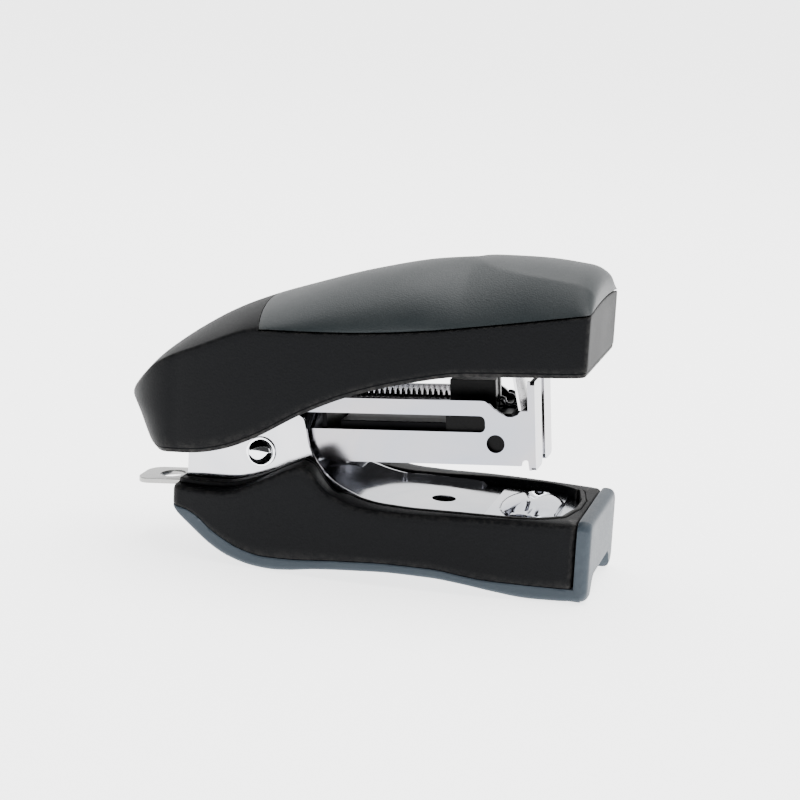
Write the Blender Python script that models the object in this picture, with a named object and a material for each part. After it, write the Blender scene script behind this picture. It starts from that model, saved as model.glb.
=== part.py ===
"""Compact hand stapler for No. 24/6 staples: a moulded base with a rubber sole, a steel frame with two ears,
a steel magazine on a cross pin, a sliding pusher, and a moulded top cover that carries the driver blade.

X runs from the heel to the nose, Y across, Z up. The base stands on Z = 0 and the origin is under the middle
of the bounding box. Lengths are written in millimetres and turned into metres when each mesh is made.
"""

import math

import bmesh
import bpy
import numpy as np

# ---------------------------------------------------------------- driving dimensions, mm
MM = 0.001
DATUM_X = 0.75  # drawing datum to the middle of the bounding box
GAP = 0.3

PIVOT_X, PIVOT_Z = -18.1, 19.7  # cross pin
PIN_R = 1.5
MAG_TILT = 5.0  # degrees, magazine nose-up at rest

COVER_FRONT, COVER_REAR = 41.0, -45.2
BASE_FRONT, BASE_REAR = 40.9, -33.4
BUMPER_FRONT = 43.7
COVER_WALL = 2.0
SKIN = 1.2  # thickness of the soft insert

EAR_OUT, EAR_T = 9.4, 0.8
ARM_OUT, ARM_T = 8.3, 0.7
MAG_OUT, MAG_T = 7.3, 0.7
MAG_FLOOR, MAG_TOP = -1.83, 9.8
FLANGE_FRONT = 50.2
FLOOR_TOP, FLOOR_T = 12.4, 0.75
ANVIL_X, ANVIL_TOP = 30.2, 13.95

SEG = 28


# ---------------------------------------------------------------- scene and materials
for old in list(bpy.data.objects):
    bpy.data.objects.remove(old, do_unlink=True)


def material(name, rgb, rough, metal=0.0):
    m = bpy.data.materials.new(name)
    m.use_nodes = True
    m.diffuse_color = (*rgb, 1.0)
    b = m.node_tree.nodes["Principled BSDF"]
    b.inputs["Base Color"].default_value = (*rgb, 1.0)
    b.inputs["Roughness"].default_value = rough
    b.inputs["Metallic"].default_value = metal
    return m


BLACK, PAD_GREY, INSERT_GREY = (0.018, 0.019, 0.021), (0.13, 0.155, 0.18), (0.075, 0.088, 0.092)
CHROME, SPRING, WIRE = (0.78, 0.78, 0.79), (0.42, 0.42, 0.43), (0.55, 0.55, 0.56)


# ---------------------------------------------------------------- mesh helpers
def obj_from(name, verts, faces, mat=None, smooth=None):
    mesh = bpy.data.meshes.new(name)
    mesh.from_pydata([(x * MM, y * MM, z * MM) for x, y, z in verts], [], faces)
    bm = bmesh.new()
    bm.from_mesh(mesh)
    bmesh.ops.remove_doubles(bm, verts=bm.verts, dist=2e-6)
    bmesh.ops.recalc_face_normals(bm, faces=bm.faces)
    bm.to_mesh(mesh)
    bm.free()
    if mat:
        mesh.materials.append(mat)
    if smooth is not None:
        mesh.shade_smooth()
        mesh.set_sharp_from_angle(angle=math.radians(smooth))
    o = bpy.data.objects.new(name, mesh)
    bpy.context.scene.collection.objects.link(o)
    return o


def loft(name, rings, mat=None, smooth=None):
    """Closed solid through rings of equal count, with both ends capped."""
    n = len(rings[0])
    verts = [p for r in rings for p in r]
    faces = []
    for i in range(len(rings) - 1):
        for j in range(n):
            a, b = i * n + j, i * n + (j + 1) % n
            faces.append((a, b, b + n, a + n))
    faces.append(tuple(range(n))[::-1])
    faces.append(tuple(range((len(rings) - 1) * n, len(rings) * n)))
    return obj_from(name, verts, faces, mat, smooth)


def prism_y(name, pts, y0, y1, mat=None):
    """Outline (x, z) extruded along Y."""
    return loft(name, [[(x, y0, z) for x, z in pts], [(x, y1, z) for x, z in pts]], mat)


def prism_z(name, pts, z0, z1, mat=None):
    """Outline (x, y) extruded along Z."""
    return loft(name, [[(x, y, z0) for x, y in pts], [(x, y, z1) for x, y in pts]], mat)


def prism_x(name, pts, x0, x1, mat=None):
    """Outline (y, z) extruded along X."""
    return loft(name, [[(x0, y, z) for y, z in pts], [(x1, y, z) for y, z in pts]], mat)


def box(name, x0, x1, y0, y1, z0, z1, mat=None):
    return prism_z(name, [(x0, y0), (x1, y0), (x1, y1), (x0, y1)], z0, z1, mat)


def circle(cx, cy, r, n=SEG, start=0.0):
    return [(cx + r * math.cos(start + 2 * math.pi * k / n), cy + r * math.sin(start + 2 * math.pi * k / n)) for k in range(n)]


def rod_y(name, cx, cz, r, y0, y1, n=SEG, mat=None, smooth=None):
    o = prism_y(name, circle(cx, cz, r, n), y0, y1, mat)
    if smooth is not None:
        o.data.shade_smooth()
        o.data.set_sharp_from_angle(angle=math.radians(smooth))
    return o


def rounded(pts, radius, steps=4):
    """Outline with each corner that has a radius replaced by an arc."""
    out, n = [], len(pts)
    rad = radius if isinstance(radius, (list, tuple)) else [radius] * n
    for k in range(n):
        p, a, b = np.array(pts[k], float), np.array(pts[k - 1], float), np.array(pts[(k + 1) % n], float)
        if rad[k] <= 0:
            out.append(tuple(p))
            continue
        u, v = (a - p), (b - p)
        lu, lv = np.linalg.norm(u), np.linalg.norm(v)
        u, v = u / lu, v / lv
        half = math.acos(max(-1.0, min(1.0, float(u @ v)))) / 2
        d = min(rad[k] / math.tan(half), lu * 0.49, lv * 0.49)
        for i in range(steps + 1):
            t = i / steps
            q = (1 - t) ** 2 * (p + u * d) + 2 * t * (1 - t) * (p + 0.12 * d * (u + v)) + t**2 * (p + v * d)
            out.append((float(q[0]), float(q[1])))
    return out


def curve(points):
    """Smooth monotone interpolation through (x, value) points."""
    x = np.array([p[0] for p in points], float)
    y = np.array([p[1] for p in points], float)
    h, d = np.diff(x), np.diff(y) / np.diff(x)
    m = np.zeros(len(x))
    m[0], m[-1] = d[0], d[-1]
    for k in range(1, len(x) - 1):
        if d[k - 1] * d[k] > 0:
            w1, w2 = 2 * h[k] + h[k - 1], h[k] + 2 * h[k - 1]
            m[k] = (w1 + w2) / (w1 / d[k - 1] + w2 / d[k])

    def value(t):
        t = float(min(max(t, x[0]), x[-1]))
        k = int(min(max(np.searchsorted(x, t, side="right") - 1, 0), len(h) - 1))
        s = (t - x[k]) / h[k]
        return float(
            (2 * s**3 - 3 * s**2 + 1) * y[k] + (s**3 - 2 * s**2 + s) * h[k] * m[k]
            + (3 * s**2 - 2 * s**3) * y[k + 1] + (s**3 - s**2) * h[k] * m[k + 1]
        )

    return value


def boolean(target, cutter, operation="DIFFERENCE", solver="EXACT"):
    m = target.modifiers.new(operation.lower(), "BOOLEAN")
    m.operation, m.solver, m.object = operation, solver, cutter
    bpy.context.view_layer.update()
    graph = bpy.context.evaluated_depsgraph_get()
    done = bpy.data.meshes.new_from_object(target.evaluated_get(graph))
    target.modifiers.remove(m)
    mats = [s for s in target.data.materials]
    target.data = done
    target.data.materials.clear()
    for s in mats:
        target.data.materials.append(s)
    bpy.data.objects.remove(cutter, do_unlink=True)
    return target


def cut(target, *cutters):
    for c in cutters:
        boolean(target, c)
    return target


def join(target, *others):
    for c in others:
        boolean(target, c, "UNION")
    return target


def keep(target, other):
    return boolean(target, other, "INTERSECT")


def shade(o, angle=35):
    o.data.shade_smooth()
    o.data.set_sharp_from_angle(angle=math.radians(angle))
    return o


def tube(name, path, r, sides=8, mat=None):
    """Round wire along a path of points, with closed ends."""
    path = [np.array(p, float) for p in path]
    rings, up = [], np.array([0.0, 1.0, 0.0])
    for k, p in enumerate(path):
        t = path[min(k + 1, len(path) - 1)] - path[max(k - 1, 0)]
        t /= np.linalg.norm(t)
        up = up - t * (up @ t)
        if np.linalg.norm(up) < 0.2:
            up = np.array([1.0, 0.0, 0.0]) - t * t[0]
        up /= np.linalg.norm(up)
        side = np.cross(t, up)
        rings.append([tuple(p + r * (math.cos(a) * up + math.sin(a) * side)) for a in [2 * math.pi * j / sides for j in range(sides)]])
    return loft(name, rings, mat, 40)


def in_magazine(points):
    """From the magazine's own axes, at the pin, to the drawing frame."""
    c, s = math.cos(math.radians(MAG_TILT)), math.sin(math.radians(MAG_TILT))
    return [(PIVOT_X + x * c - z * s, PIVOT_Z + x * s + z * c) for x, z in points]


def lay(o, tilt=MAG_TILT):
    """Turns a mesh drawn in axes at the pin into the drawing frame."""
    c, s = math.cos(math.radians(tilt)), math.sin(math.radians(tilt))
    for v in o.data.vertices:
        x, z = v.co.x, v.co.z
        v.co.x, v.co.z = PIVOT_X * MM + x * c - z * s, PIVOT_Z * MM + x * s + z * c
    return o


# ---------------------------------------------------------------- outlines along the length
base_half = curve([(-33.4, 13.9), (-28, 15.1), (-20, 16.4), (-10, 17.25), (0, 17.5), (10, 17.2), (20, 16.5), (30, 15.3), (40.9, 13.5)])
cover_half = curve([(-45.2, 4.0), (-44.4, 6.6), (-43, 8.9), (-41, 11.2), (-38, 13.5), (-34, 15.3), (-28, 16.5), (-20, 17.3), (-8, 17.75), (2, 17.8), (14, 17.3), (26, 16.3), (41.0, 14.4)])
rim_z = curve([(-33.4, 12.8), (-28.9, 12.9), (-23.4, 13.2), (-21.3, 13.7), (-18.3, 15.0), (-14.8, 16.95), (-10.6, 19.1), (-9.0, 19.75), (-7.5, 20.0), (-6.6, 19.3), (-5.3, 17.8), (-3.3, 15.95), (-0.6, 14.8), (1.6, 14.05), (6.2, 13.6), (10.7, 13.6), (15.7, 13.8), (20.9, 14.0), (40.9, 14.35)])
seam_z = curve([(-33.4, 9.2), (-30, 8.6), (-27.4, 7.4), (-26, 6.3), (-22.7, 4.5), (-19, 3.1), (-15, 2.45), (-10.2, 2.6), (-0.8, 3.5), (9.8, 4.1), (16.2, 4.05), (21.6, 3.4), (25.5, 2.95), (33, 2.7), (40.9, 2.5)])
sole_z = curve([(-33.4, 8.9), (-31.6, 7.0), (-28.4, 4.6), (-24.9, 2.4), (-21.5, 1.0), (-17.1, 0.15), (-13.8, 0.0), (-10, 0.35), (-5.4, 1.15), (2.2, 1.9), (9.8, 2.3), (16.3, 2.2), (21.6, 1.7), (27.4, 0.8), (32.5, 0.1), (34.5, 0.0), (44.0, 0.0)])
top_z = curve([(-45.2, 27.4), (-44.4, 29.2), (-42, 32.2), (-38, 36.0), (-32, 40.5), (-26, 44.1), (-20, 46.8), (-13, 49.4), (-1, 53.4), (11.6, 56.5), (21.8, 57.8), (29.7, 58.1), (37, 57.6), (39.2, 57.1), (40.3, 56.2), (41.0, 54.6)])
low_z = curve([(-45.2, 26.0), (-43.4, 22.8), (-41.8, 20.0), (-40.2, 19.0), (-37, 18.8), (-33, 19.2), (-28, 19.95), (-22.5, 21.5), (-17.5, 23.85), (-8.2, 29.55), (0.7, 33.8), (11.3, 37.2), (19.2, 38.9), (29.2, 39.7), (39.6, 40.4), (41.0, 40.6)])
shoulder_z = curve([(-45.2, 26.4), (-43, 28.8), (-41, 30.9), (-37.2, 35.0), (-28, 39.6), (-17.2, 43.7), (-8.9, 44.2), (0.2, 44.9), (11.9, 46.3), (23.3, 48.2), (41.0, 51.4)])
nose_square = curve([(-45.2, 2.0), (12, 2.1), (24, 2.7), (36, 3.4), (41.0, 3.6)])


def stations(x0, x1, extra=(), step=4.6):
    n = max(2, int(round((x1 - x0) / step)))
    xs = {round(x0 + (x1 - x0) * k / n, 3) for k in range(n + 1)} | {e for e in extra if x0 < e < x1}
    xs = sorted(xs)
    return [xs[0]] + [b for a, b in zip(xs, xs[1:]) if b - a > 0.35 or b == xs[-1]]


def crown(x, half, shoulder, top, count=15):
    """Half-round top of a cover section, from the near shoulder over to the far one."""
    e, pts = nose_square(x), []
    for k in range(count + 1):
        a = math.pi * k / count
        y = -math.cos(a)
        s = abs(math.sin(a)) ** (2.0 / e)
        y = math.copysign(abs(y) ** (2.0 / (e + 0.3)), y)
        pts.append((half * y, shoulder + (top - shoulder) * s))
    return pts


def cover_solid(name, inset=0.0, drop=0.0, floor=None, x0=COVER_REAR, x1=COVER_FRONT, extra=(), shift=0.0):
    rings = []
    for x in stations(x0, x1, extra, 5.0):
        h = cover_half(x) - inset
        s, t = shoulder_z(x) - drop * 0.6 + shift, top_z(x) - drop
        z = low_z(x) if floor is None else floor(x)
        z = min(z, s - 0.6)
        rings.append([(x, h, z), (x, -h, z)] + [(x, y, zz) for y, zz in crown(x, h, s, max(t, s + 0.5))])
    return loft(name, rings)


# ---------------------------------------------------------------- top cover and soft insert
black = material("black_abs", BLACK, 0.45)
insert_grey = material("insert_tpe", INSERT_GREY, 0.6)
REAR_X = (-44.4, -43.2, -41.6, -39.4, -36.5)
NOSE_X = (38.2, 39.6, 40.5)
SEAM_REAR = -18.4

cover_shell = cover_solid("cover_shell", extra=REAR_X + NOSE_X)
inner_floor = curve([(-42.2, 26.6), (-40.0, 23.0), (-38.6, 21.0), (-38.2, 12.0), (-30, 10.0), (38.9, 10.0)])
cut(cover_shell, cover_solid("inner", COVER_WALL, 3.0, inner_floor, -41.8, 38.9, (-40.0, -38.6, -38.2, -36)))


def seam_region(name, offset):
    """Everything above the insert's seam, ahead of its rear edge."""
    rings = []
    for x in stations(SEAM_REAR + offset, 46, (), 5.0):
        z = shoulder_z(x) + offset
        lift = 1.0 if x > 40.6 else 0.0
        rings.append([(x, -25, z), (x, -9, z + 0.5 * lift), (x, 0, z + 0.8 * lift), (x, 9, z + 0.5 * lift), (x, 25, z), (x, 25, 75), (x, -25, 75)])
    return loft(name, rings)


def insert_core(name, depth):
    """What stays black below the insert: the cover drawn in by the skin's thickness."""
    rings = []
    for x in stations(-40, COVER_FRONT - depth, (38.0, 39.0), 5.0):
        h = cover_half(x) - depth
        s = shoulder_z(x)
        rings.append([(x, h, s - 8), (x, -h, s - 8)] + [(x, y, zz) for y, zz in crown(x, h, s, top_z(x) - depth)])
    return loft(name, rings)


groove = cut(seam_region("groove", -0.15), insert_core("core_low", SKIN + 0.35))
cut(cover_shell, groove)
cover_insert = keep(cover_solid("cover_insert", extra=NOSE_X), seam_region("above", 0.15))
cut(cover_insert, insert_core("core_high", SKIN))
cover_shell.data.materials.append(black)
cover_insert.data.materials.append(insert_grey)
shade(cover_shell)
shade(cover_insert)


# ---------------------------------------------------------------- base housing and rubber sole
pad_grey = material("sole_tpe", PAD_GREY, 0.55)


def base_ring(x, z0, z1, chamfer, foot):
    h = base_half(x)
    if x < BASE_REAR + 1.6:
        h -= 1.4 * (1 - (x - BASE_REAR) / 1.6) ** 2
    return [(x, -h + foot, z0), (x, -h, z0 + foot), (x, -h, z1 - chamfer), (x, -h + chamfer, z1), (x, h - chamfer, z1), (x, h, z1 - chamfer), (x, h, z0 + foot), (x, h - foot, z0)]


HUMP = (-32.6, -26, -23, -19, -12.2, -10.4, -8.6, -7.4, -6.2, -4.2, -2.1, 0, 2.2)
base_housing = loft("base_housing", [base_ring(x, seam_z(x) + 0.15, rim_z(x), 0.7, 0.05) for x in stations(BASE_REAR, BASE_FRONT, HUMP, 4.6)])

frame_out = curve([(-32.0, EAR_OUT), (-13, EAR_OUT), (-9, 9.55), (-5, 10.05), (0, 10.95), (5, 11.75), (10, 12.25), (20, 12.7), (28, 12.5), (32, 11.9), (35, 10.6), (37.3, 8.7), (38.3, 6.5), (38.7, 3.0)])
bay = [-32.6, -13, -9, -5, 0, 5, 10, 20, 28, 32, 35, 37.3, 38.3, 38.7]


def bay_outline(grow, x_end=None):
    near = [(x + (grow if x > 36 else 0), -(frame_out(x) + grow)) for x in bay]
    near[0] = (-32.0 - grow, near[0][1])
    if x_end is not None:
        near = [p for p in near if p[0] < x_end] + [(x_end, -(frame_out(x_end) + grow))]
    return near + [(x, -y) for x, y in near[::-1]]


DECK_Z = FLOOR_TOP - FLOOR_T - GAP
cut(base_housing, prism_z("bay", bay_outline(GAP), DECK_Z, 40))
cut(base_housing, box("tongue_slot", BASE_REAR - 2, -12.7, -4.95, 4.95, 10.0, DECK_Z + 0.5))
base_housing.data.materials.append(black)
shade(base_housing)

sole_x = stations(BASE_REAR, BASE_FRONT + 0.35, (-32.6, -30, -27.4, -24, -20, -14, 33, 35), 5.0)
base_pad = loft("base_pad", [base_ring(min(x, BASE_FRONT), sole_z(x), seam_z(min(x, BASE_FRONT)) - 0.15, 0.05, min(1.2, 0.45 * (seam_z(min(x, 40.9)) - 0.15 - sole_z(x)))) if x <= BASE_FRONT else base_ring(BASE_FRONT, 0.0, seam_z(BASE_FRONT) - 0.15, 0.05, 1.2) for x in sole_x])
for v in base_pad.data.vertices:
    if v.co.x > (BASE_FRONT - 0.01) * MM:
        v.co.x = (BASE_FRONT + 0.9) * MM
bumper = prism_x("bumper", rounded([(-13.6, 0), (13.6, 0), (13.6, 14.7), (-13.6, 14.7)], [1.4, 1.4, 1.2, 1.2]), BASE_FRONT + GAP, BUMPER_FRONT)
bevel = bumper.modifiers.new("round", "BEVEL")
bevel.width, bevel.segments, bevel.limit_method, bevel.angle_limit = 1.1 * MM, 2, "ANGLE", math.radians(50)
join(base_pad, bumper)
cut(base_pad, prism_x("arch", rounded([(-11.2, -1), (-8.2, 4.1), (8.2, 4.1), (11.2, -1)], [0, 1.6, 1.6, 0]), 41.9, 50))
cut(base_pad, prism_x("arch_rear", rounded([(-11.2, -1), (-9.6, 1.7), (9.6, 1.7), (11.2, -1)], [0, 0.8, 0.8, 0]), 33.0, 42.5))
base_pad.data.materials.append(pad_grey)
shade(base_pad)


# ---------------------------------------------------------------- steel frame, anvil, remover tongue
chrome = material("chromed_steel", CHROME, 0.16, 1.0)
base_frame = prism_z("base_frame", bay_outline(0.0), FLOOR_TOP - FLOOR_T, FLOOR_TOP)
wall_top = curve([(-32.0, 18.0), (-31.8, 22.0), (-29, 25.5), (-24, 27.4), (-18, 28.0), (-13.2, 27.9), (-11.6, 27.3), (-10.4, 26.6), (-9.9, 25.0), (-9.3, 22.3), (-8.2, 19.9), (-6.3, 17.6), (-3.7, 15.6), (-0.8, 14.5), (1.7, 13.8), (4.5, 13.35), (17.6, 13.3), (19.2, 12.9), (19.5, 12.5)])
for side in (-1, 1):
    rings = []
    for x in (-32.0, -31.8, -30.6, -29, -26.5, -24, -21, -18, -15.5, -13.2, -11.6, -10.8, -10.4, -10.1, -9.9, -9.6, -9.3, -8.8, -8.2, -7.3, -6.3, -5, -3.7, -2.2, -0.8, 1.7, 4.5, 9, 13, 17.6, 18.6, 19.2, 19.5):
        y = frame_out(x) - 0.001
        rings.append([(x, side * y, 11.9), (x, side * y, wall_top(x)), (x, side * (y - EAR_T), wall_top(x)), (x, side * (y - EAR_T), 11.9)])
    join(base_frame, loft("wall", rings))
cut(base_frame, rod_y("bore", PIVOT_X, PIVOT_Z, PIN_R + 0.2, -20, 20, 24))
cut(base_frame, prism_z("floor_hole", circle(14.15, 0, 2.2, 24), 5, 20))
cut(base_frame, prism_z("rivet_hole", circle(-14.9, 0, 1.3, 16), 5, 20))
base_frame.data.materials.append(chrome)
shade(base_frame)

anvil_mat = material("nickel_plate", (0.8, 0.8, 0.8), 0.12, 1.0)
PLATE_BOTTOM = FLOOR_TOP + 0.12
nx, ny = 16, 24
verts, faces = [], []
X0, X1, YH = 23.5, 35.5, 10.3
for j in range(ny + 1):
    for i in range(nx + 1):
        x, y = X0 + (X1 - X0) * i / nx, -YH + 2 * YH * j / ny
        r = math.hypot((x - ANVIL_X) / 5.6, y / 9.4)
        z = PLATE_BOTTOM + 0.5 + (ANVIL_TOP - PLATE_BOTTOM - 0.5) * max(0.0, 1 - r**2.4) ** 0.8
        for c in (-1, 1):
            q = math.hypot((x - ANVIL_X) / 1.35, (y - c * 5.2) / 2.9)
            z -= 0.75 * max(0.0, 1 - q * q)
        verts.append((x, y, z))
count = len(verts)
verts += [(v[0], v[1], PLATE_BOTTOM) for v in verts[:count]]
for j in range(ny):
    for i in range(nx):
        a = j * (nx + 1) + i
        faces.append((a, a + 1, a + nx + 2, a + nx + 1))
        faces.append((a + count, a + nx + 1 + count, a + nx + 2 + count, a + 1 + count))
edge = [i for i in range(nx)] + [nx + j * (nx + 1) for j in range(ny)] + [ny * (nx + 1) + i for i in range(nx, 0, -1)] + [j * (nx + 1) for j in range(ny, 0, -1)]
for k in range(len(edge)):
    a, b = edge[k], edge[(k + 1) % len(edge)]
    faces.append((a, a + count, b + count, b))
anvil_plate = shade(obj_from("anvil_plate", verts, faces, anvil_mat))

TONGUE_TOP, TONGUE_T = FLOOR_TOP - FLOOR_T - 0.12 - 0.18, 0.95
tongue_mat = material("hardened_steel", (0.7, 0.69, 0.66), 0.25, 1.0)
drop = math.tan(math.radians(5.0))
tongue_out = rounded([(-44.2, -4.6), (-13.2, -4.6), (-13.2, 4.6), (-44.2, 4.6)], [2.0, 1.0, 1.0, 2.0], 5)
remover_tongue = prism_z("remover_tongue", tongue_out, TONGUE_TOP - TONGUE_T, TONGUE_TOP)
cut(remover_tongue, prism_z("ring_hole", circle(-38.3, 0, 2.4, 24), 5, 20), prism_z("hole", circle(-14.9, 0, 1.3, 16), 5, 20))
bm = bmesh.new()
bm.from_mesh(remover_tongue.data)
bmesh.ops.bisect_plane(bm, geom=bm.verts[:] + bm.edges[:] + bm.faces[:], plane_co=(-34.0 * MM, 0, 0), plane_no=(1, 0, 0))
for v in bm.verts:
    if v.co.x < -34.0 * MM:
        v.co.z += (v.co.x + 34.0 * MM) * drop
bm.to_mesh(remover_tongue.data)
bm.free()
remover_tongue.data.materials.append(tongue_mat)
shade(remover_tongue)


def turned(name, profile, mat, axis="Z", n=SEG, at=(0, 0, 0)):
    """Solid of revolution from (radius, height) points, bottom to top."""
    rings = []
    for r, h in profile:
        r = max(r, 0.02)
        ring = [(r * math.cos(2 * math.pi * k / n), r * math.sin(2 * math.pi * k / n), h) for k in range(n)]
        if axis == "Y":
            ring = [(x, z, y) for x, y, z in ring]
        rings.append([(x + at[0], y + at[1], z + at[2]) for x, y, z in ring])
    return loft(name, rings, mat, 40)


rivet_steel = material("rivet_steel", (0.74, 0.74, 0.75), 0.14, 1.0)
tongue_rivet = turned("tongue_rivet", [(0.6, 10.15), (1.0, 10.15), (1.0, 12.55), (1.9, 12.55), (1.8, 12.85), (1.3, 13.15), (0.6, 13.3)], rivet_steel, n=16, at=(-14.9, 0, 0))

dome = [(2.25, 0.0), (2.2, 0.35), (1.95, 0.8), (1.5, 1.15), (0.8, 1.4), (0.25, 1.45)]
head = EAR_OUT + 0.55
pivot_pin = turned(
    "pivot_pin",
    [(r, -head - h) for r, h in dome[::-1]] + [(PIN_R, -head), (PIN_R, head)] + [(r, head + h) for r, h in dome],
    rivet_steel, "Y", 24, (PIVOT_X, 0, PIVOT_Z),
)
for side, name in ((-1, "pivot_washer_near"), (1, "pivot_washer_far")):
    y0, y1 = sorted((side * (EAR_OUT + 0.1), side * (EAR_OUT + 0.45)))
    w = rod_y(name, PIVOT_X, PIVOT_Z, 2.75, y0, y1, 24, rivet_steel)
    cut(w, rod_y("bore", PIVOT_X, PIVOT_Z, PIN_R + 0.15, -20, 20, 24))
    shade(w)

spring_mat = material("spring_steel", SPRING, 0.3, 1.0)
leaf = [(-27.5, 12.6), (-19.5, 12.6), (-15.5, 13.1), (-9.5, 15.4), (-5.5, 17.0), (-2.5, 17.55), (-0.5, 17.2)]
leaf_pts = [(x, z) for x, z in leaf] + [(x, z + 0.4) for x, z in leaf[::-1]]
lift_spring = prism_y("lift_spring", leaf_pts, -3.6, 3.6, spring_mat)
cut(lift_spring, box("rivet_window", -17.2, -12.6, -2.3, 2.3, 5, 20))
shade(lift_spring)


# ---------------------------------------------------------------- magazine, drawn in axes at the pin
mag_mat = material("magazine_chrome", (0.72, 0.72, 0.74), 0.2, 1.0)
S0, S1 = 4.07, 7.07  # slot edges
side_outline = [(-4.2, 0.0), (-3.0, -2.9), (0.0, -4.2), (2.9, -3.0), (4.2, 0.4), (5.0, 3.0), (5.9, 5.0)] + [
    (8.9, 5.0), (9.15, 1.9), (9.9, 0.05), (11.0, -1.2), (12.7, MAG_FLOOR), (47.6, MAG_FLOOR), (47.7, -1.0), (48.2, -0.55), (49.0, -0.6), (49.0, MAG_FLOOR - 0.75),
    (49.4, MAG_FLOOR - 0.78), (49.4, 13.4), (48.9, 13.4), (48.9, 8.1), (47.6, 8.1), (47.1, 7.4), (46.2, 7.0), (45.2, 7.0), (44.2, 7.5), (42.9, 8.3), (42.0, 9.2), (41.2, 9.75), (40.4, MAG_TOP),
    (6.0, MAG_TOP), (1.5, 6.2), (-2.6, 3.6)]
magazine_channel = prism_y("magazine_channel", side_outline, -MAG_OUT, MAG_OUT)
cut(magazine_channel, box("inside", -10, 60, -(MAG_OUT - MAG_T), MAG_OUT - MAG_T, MAG_FLOOR + MAG_T, 40), box("arms_gap", -10, 9.2, -(MAG_OUT - MAG_T), MAG_OUT - MAG_T, -20, 40), box("exit", 47.3, 60, -(MAG_OUT - MAG_T), MAG_OUT - MAG_T, -20, 40))
cut(magazine_channel, prism_y("slot", rounded([(5.4, S0), (41.2, S0), (41.2, S1), (5.4, S1)], [0, 0.9, 0.9, 0]), -20, 20), rod_y("side_hole", 43.0, 2.06, 1.65, -20, 20, 24), rod_y("bore", 0, 0, PIN_R + 0.2, -20, 20, 24))
for side in (-1, 1):
    y = [side * v for v in (1.25, MAG_OUT)]
    fl = prism_x("flange", rounded([(y[0], MAG_FLOOR - 0.8), (y[1], MAG_FLOOR - 0.8), (y[1], 13.4), (y[0], 13.4)], [1.3, 0.7, 0.7, 0.4]), 49.35, FLANGE_FRONT)
    join(magazine_channel, fl)
lay(magazine_channel)
magazine_channel.data.materials.append(mag_mat)
shade(magazine_channel)

rail_mat = material("rail_steel", (0.5, 0.5, 0.5), 0.3, 1.0)
RAIL_Y, RAIL_TOP = 5.3, 5.3
rail_bottom = MAG_FLOOR + MAG_T + 0.12
staple_rail = box("staple_rail", 14.0, 46.6, -RAIL_Y, RAIL_Y, rail_bottom, RAIL_TOP)
cut(staple_rail, box("inside", 13, 48, -RAIL_Y + 0.7, RAIL_Y - 0.7, -20, RAIL_TOP - 0.7))
lay(staple_rail)
staple_rail.data.materials.append(rail_mat)
shade(staple_rail)

ROD_Z = 8.75
rear_stop = box("rear_stop", 10.9, 11.7, -6.3, 6.3, -0.9, 11.2)
join(rear_stop, box("foot", 11.6, 13.6, -5.0, 5.0, MAG_FLOOR + MAG_T + 0.12, MAG_FLOOR + MAG_T + 0.82))
cut(rear_stop, prism_x("bore", circle(0, ROD_Z, 0.75, 16), 5, 20))
lay(rear_stop)
rear_stop.data.materials.append(mag_mat)
shade(rear_stop)

wire_mat = material("bright_wire", WIRE, 0.18, 1.0)
rod_path = [(9.6, 0, ROD_Z), (12, 0, ROD_Z), (42.6, 0, ROD_Z)]
eye = [(44.3 + 1.25 * math.cos(a), 0, ROD_Z + 1.25 * math.sin(a)) for a in [math.radians(180 + 40 * k) for k in range(8)]]
guide_rod = tube("guide_rod", rod_path + eye, 0.5, 8, wire_mat)
lay(guide_rod)


def helix(x0, x1, turns, radius, wire, per_turn=10, sides=5, name="spring", taper=0.0):
    path, n = [], int(turns * per_turn)
    for k in range(n + 1):
        t = k / n
        r = radius * (1 - taper * max(0.0, (t - 0.88) / 0.12))
        a = 2 * math.pi * turns * t
        path.append((x0 + (x1 - x0) * t, r * math.cos(a), ROD_Z + r * math.sin(a)))
    rings = []
    for k, p in enumerate(path):
        a = 2 * math.pi * turns * k / n
        out = np.array([0.0, math.cos(a), math.sin(a)])
        rings.append([tuple(np.array(p) + wire * (math.cos(b) * out + math.sin(b) * np.array([1.0, 0, 0]))) for b in [2 * math.pi * j / sides for j in range(sides)]])
    return loft(name, rings, spring_mat, 40)


PUSHER_REAR, PUSHER_FRONT = 33.8, 45.8
pusher_spring = lay(helix(12.2, PUSHER_REAR - 0.5, 13, 1.45, 0.22, 10, 5, "pusher_spring", 0.25))

pusher_mat = material("pusher_pom", (0.02, 0.02, 0.022), 0.4)
pusher = box("pusher", PUSHER_REAR, PUSHER_FRONT, -6.3, 6.3, -0.4, 7.4)
join(pusher, box("bridge", PUSHER_REAR, 42.2, -2.4, 2.4, 7.0, 12.6))
cut(pusher, box("saddle", 20, 60, -RAIL_Y - 0.3, RAIL_Y + 0.3, -20, RAIL_TOP + 0.3))
cut(pusher, prism_x("bore", circle(0, ROD_Z, 0.8, 12), 20, 60), box("eye_room", 42.0, 60, -1.0, 1.0, 6.4, 20))
lay(pusher)
pusher.data.materials.append(pusher_mat)
shade(pusher)


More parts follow.
